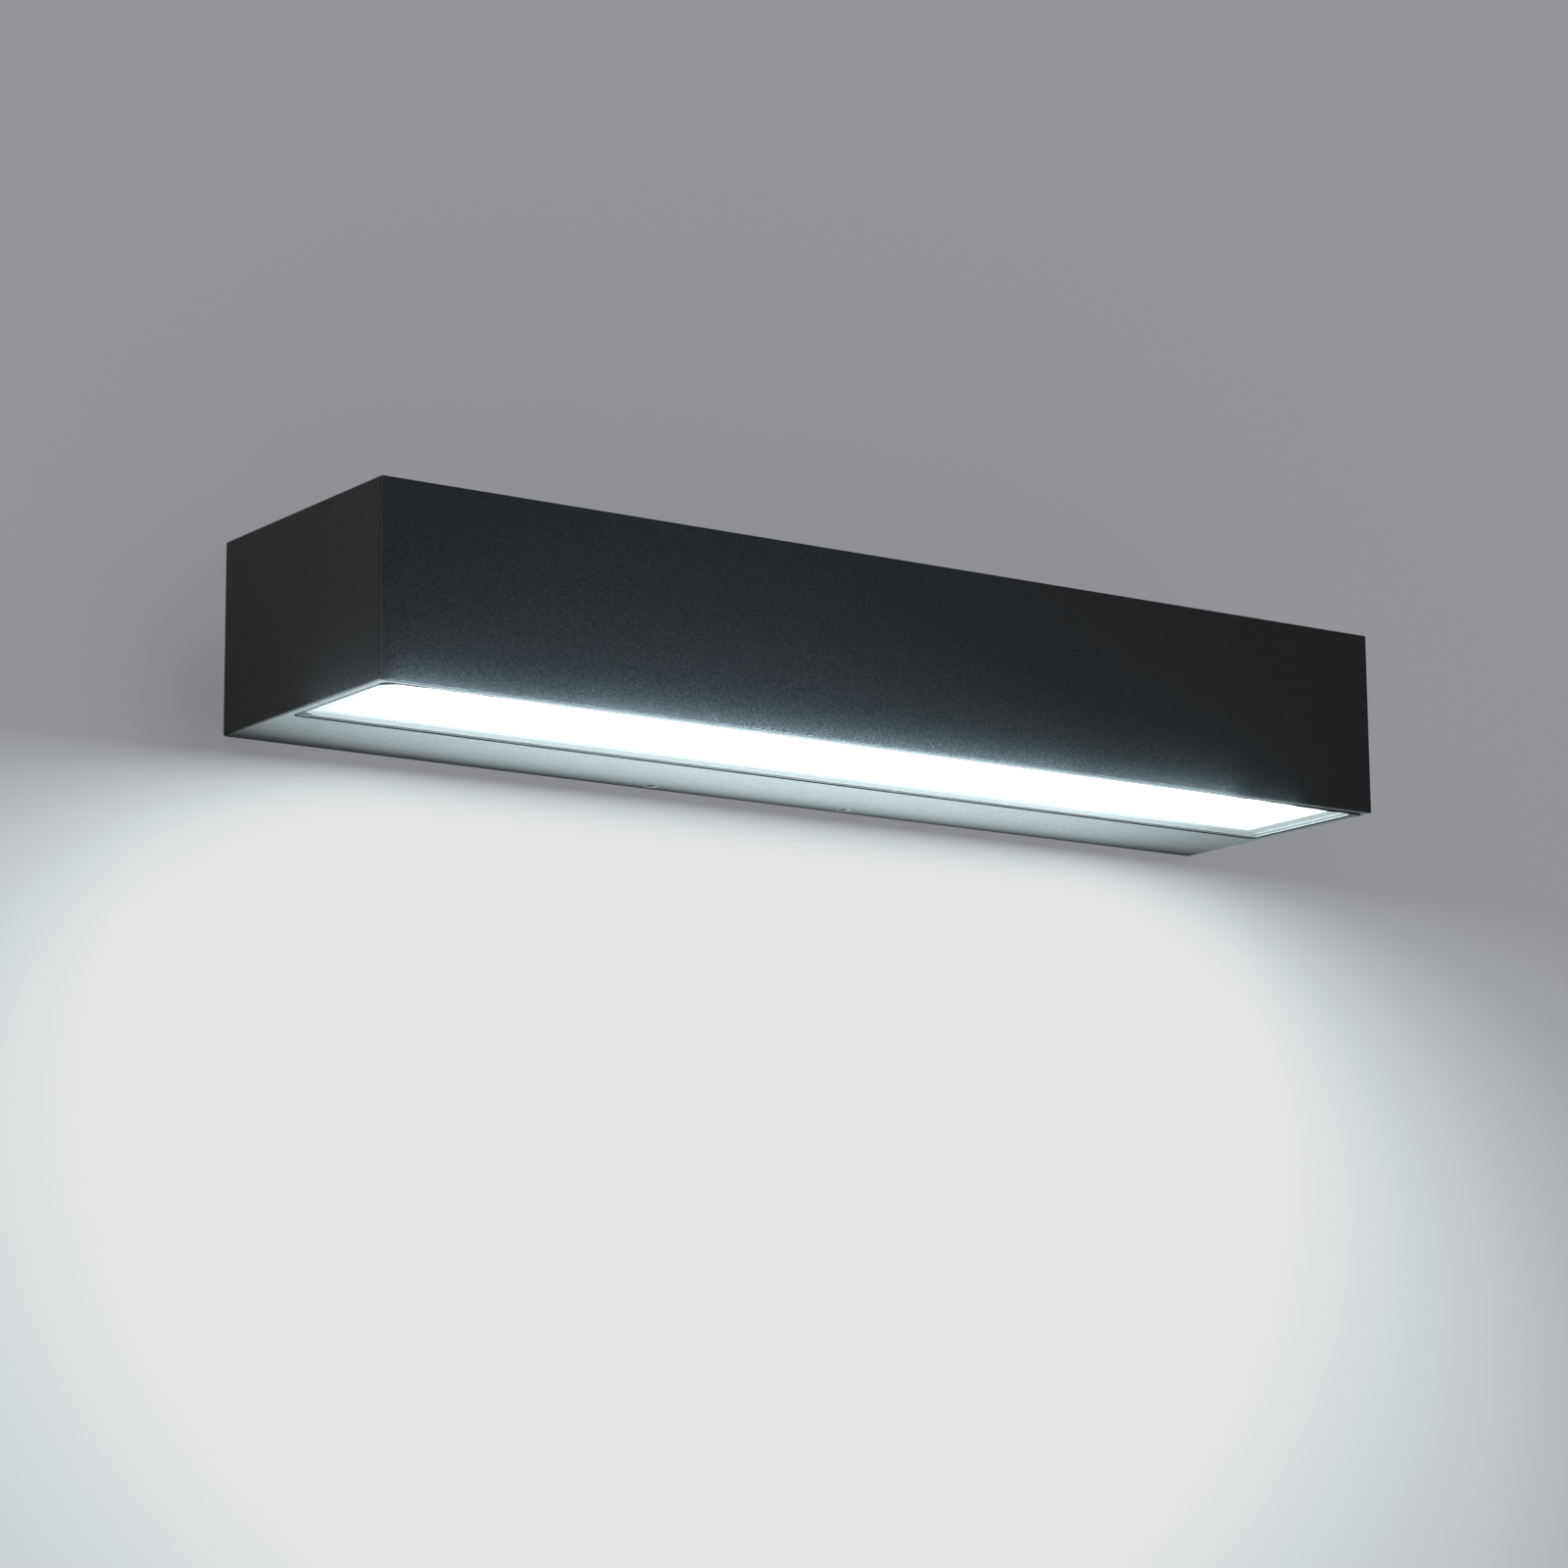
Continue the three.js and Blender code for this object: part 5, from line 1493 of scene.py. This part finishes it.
@dataclass(frozen=True)
class Camera:
    """The camera at the photograph's place: low, to the left and in front.

    Attributes:
        place: Where it stands.
        yaw: How far it is turned to the right, in degrees.
        pitch: How far it looks up.
        roll: How far it leans.
        sensor: The width of its picture in millimetres.
        lens: Its focal length in millimetres.
        clip: The nearest and the farthest that it sees.
    """

    place: Triple = (-0.87308, -1.27667, -0.33257)
    yaw: float = 34.924
    pitch: float = 11.2035
    roll: float = -0.4494
    sensor: float = 36
    lens: float = 105.236
    clip: tuple[float, float] = (0.05, 20)

    def build(self) -> None:
        """Puts the camera into the scene."""
        data = bpy.data.cameras.new("camera")
        data.sensor_width, data.lens = self.sensor, self.lens
        data.clip_start, data.clip_end = self.clip
        camera = bpy.data.objects.new("camera", data)
        yaw, pitch, roll = (math.radians(turn) for turn in (self.yaw, self.pitch, self.roll))
        camera.matrix_world = (
            Matrix.Translation(Vector(self.place)) @ Matrix.Rotation(-yaw, 4, "Z")
            @ (Matrix.Rotation(TAU / 4 + pitch, 4, "X") @ Matrix.Rotation(roll, 4, "Z"))
        )
        bpy.context.scene.collection.objects.link(camera)
        bpy.context.scene.camera = camera


HAZE = (0.71, 0.93, 0.97)


def strip(x: float, length: float, watts: float) -> Lamp:
    """A thin lamp just outside the front's lower edge, with its middle at x."""
    return Lamp((x, -0.1038, -0.0353), (x, -0.1, -0.0315), length, watts, 2 * MM, HAZE)


@dataclass
class Stage:
    """The wall, the floor, the sky, the lamps and the camera.

    Attributes:
        wall_y: How far the wall lies behind the bracket.
        wall_half: Half the wall's width.
        wall_top: The wall's upper edge.
        wall_grey: The wall's colour.
        wall_shade: The share of that colour that takes light and shadow, and isn't steady.
        wall_mirrored: The steady share in reflections.
        floor_z: The floor's height.
        floor_half: Half the floor's width, and how far it reaches behind the wall.
        floor_depth: How far the floor reaches in front of the wall.
        floor_grey: The floor's colour.
        sky: The sky's colour, and its colour in reflections.
        pool: The pool of light on the wall.
        shade: The shade on the wall.
        glows: The lamps that lay a haze of light on the housing and ride with it.
        edge: The lamp that draws the housing's edges.
        lamps: A soft key from the upper left, and two behind the wall for the views from the back.
        camera: The camera.
    """

    wall_y: float = 0.3 * MM
    wall_half: float = 0.9
    wall_top: float = 0.9
    wall_grey: Colour = (0.308, 0.312, 0.330)
    wall_shade: float = 0.28
    wall_mirrored: float = 0.36
    floor_z: float = -0.75
    floor_half: float = 2.0
    floor_depth: float = 2.4
    floor_grey: Colour = (0.62, 0.62, 0.62)
    sky: tuple[Colour, Colour] = ((0.86, 0.87, 0.88), (0.26, 0.27, 0.29))
    pool: Pool = Pool()
    shade: Shade = Shade()
    glows: dict[str, Lamp] = field(default_factory=lambda: {
        "front_glow": strip(-0.029, 0.334, 0.69),
        "middle_glow": strip(-0.030, 0.190, 0.135),
        "fading_glow": strip(0.152, 0.028, 0.016),
        "end_glow": Lamp(
            (-0.206, -0.082, -0.038), (-0.2, -0.082, -0.0315), 0.05, 0.045, 3 * MM, HAZE),
        "front_haze": Lamp(
            (-0.09, -0.19, -0.075), (-0.09, -0.1, 0), 0.20, 0.72, 60 * MM, (0.64, 0.85, 1)),
        "end_haze": Lamp(
            (-0.32, -0.15, 0), (-0.2, -0.09, 0), 0.08, 0.16, 80 * MM, (1, 1, 0.97)),
    })
    edge: Lamp = Lamp((-1.75, -1.2, 0.30), (-0.2, -0.1, 0), 0.25, 2)
    lamps: dict[str, Lamp] = field(default_factory=lambda: {
        "key": Lamp((-1.5, -1.5, 1.3), (0, 0, 0), 1.4, 9),
        "rear_right": Lamp((0.75, 1.3, 0.55), (0.05, 0, 0), 1, 12),
        "rear_left": Lamp((-0.05, 1.5, 0.9), (0, 0, 0), 1, 10),
    })
    camera: Camera = Camera()

    def build(self) -> None:
        """Makes the wall, the floor, the sky, the lamps and the camera."""
        self._wall()
        self._floor()
        self._sky()
        self._glow()
        for name, lamp in self.lamps.items():
            lamp.build(name)
        self.camera.build()

    def _plane(self, name: str, corners: Sequence[Triple], graph: Graph) -> None:
        """Makes a flat stage piece.

        Args:
            name: Its name.
            corners: Its corners.
            graph: Its material's nodes.
        """
        mesh = bpy.data.meshes.new(name)
        mesh.from_pydata(corners, [], [(0, 1, 2, 3)])
        plane = bpy.data.objects.new(name, mesh)
        bpy.context.scene.collection.objects.link(plane)
        mesh.materials.append(graph.material)

    def _wall(self) -> None:
        """The wall: grey paint overlaid by the pool, clear from behind and to the rear lamps."""
        graph = Graph("wall_paint")
        pool, share, mirrored = self.pool, self.pool.share(graph), graph.ray("Glossy")
        dull, steady, seen, tinted = (
            tuple(float(part) for part in np.multiply(colour, by)) for colour, by in (
                (self.wall_grey, self.wall_shade), (self.wall_grey, 1 - self.wall_shade),
                (self.wall_grey, self.wall_mirrored), (pool.plateau, pool.mirror_tint),
            )
        )
        plain = graph.ramp(share, (0, pool.fringe), (pool.full, pool.fringe), (1, pool.plateau))
        shaded = self._scaled(graph, graph.mixed(mirrored, steady, seen), self.shade.share(graph))
        lit = self._scaled(graph, graph.mixed(mirrored, plain, tinted), pool.gain(graph))
        graph.set(
            Base_Color=graph.mixed(share, dull, (0, 0, 0)), Roughness=0.9, Specular_IOR_Level=0,
            Emission_Color=graph.mixed(share, shaded, lit), Emission_Strength=1,
        )
        self._one_sided(graph, graph.ray("Shadow"))
        half, y = self.wall_half, self.wall_y
        low, high = self.floor_z, self.wall_top
        corners = [(-half, y, low), (half, y, low), (half, y, high), (-half, y, high)]
        self._plane("wall", corners, graph)

    def _scaled(self, graph: Graph, colour: Socket, by: Socket) -> Socket:
        """A colour times a number."""
        scaled = graph.node("VectorMath")
        scaled.operation = "SCALE"
        graph.feed(scaled.inputs[0], colour)
        return graph.fill(scaled, Scale=by).outputs[0]

    def _one_sided(self, graph: Graph, unseen: Term = 0) -> None:
        """Makes a stage piece clear from behind, and where the other term is 1.

        Args:
            graph: The piece's nodes.
            unseen: A term that is 1 where the piece is clear, else 0.
        """
        behind = graph.node("NewGeometry").outputs["Backfacing"]
        mix = graph.node("MixShader", Fac=graph.math("MAXIMUM", behind, unseen))
        graph.feed(mix.inputs[1], graph.shader.outputs["BSDF"])
        graph.feed(mix.inputs[2], graph.node("BsdfTransparent").outputs["BSDF"])
        graph.fill(graph.output, Surface=mix.outputs["Shader"])

    def _floor(self) -> None:
        """The plain pale floor, which can't be seen from below."""
        graph = Graph("floor_paint")
        graph.set(Base_Color=self.floor_grey, Roughness=0.9, Specular_IOR_Level=0.1)
        self._one_sided(graph)
        half, front, z = self.floor_half, -self.floor_depth, self.floor_z
        corners = [(-half, front, z), (half, front, z), (half, half, z), (-half, half, z)]
        self._plane("floor", corners, graph)

    def _sky(self) -> None:
        """An even soft sky: pale to the camera and the surfaces, and dimmer in reflections."""
        world = bpy.data.worlds.new("studio")
        world.use_nodes = True
        world.cycles.sampling_method = "NONE"
        bpy.context.scene.world = world
        nodes = Nodes(world.node_tree)
        seen = nodes.mixed(nodes.ray("Glossy"), *self.sky)
        nodes.fill(nodes.tree.nodes["Background"], Color=seen)

    def _glow(self) -> None:
        """The lamps that light only the housing: the hazes that ride with it, and the edge lamp."""
        taken = bpy.data.collections.new("glow_takers")
        taken.objects.link(bpy.data.objects["housing_skin"])
        for name, glow in self.glows.items():
            lamp = glow.build(name)
            lamp.visible_transmission = lamp.visible_glossy = False
            lamp.light_linking.receiver_collection = taken
            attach(lamp, "light")
        self.edge.build("edge").light_linking.receiver_collection = taken


def main() -> None:
    """Builds the stage and every sub-assembly in order."""
    logging.basicConfig(level=logging.INFO, format="%(name)s: %(message)s")
    bpy.context.scene.view_settings.view_transform = "Standard"
    for part in (Casing(), LightOpening(), Gear(), Screws(), Gland(), WallFixing(), Stage()):
        LOG.info("building %s", type(part).__name__)
        part.build()


if __name__ == "__main__":
    main()
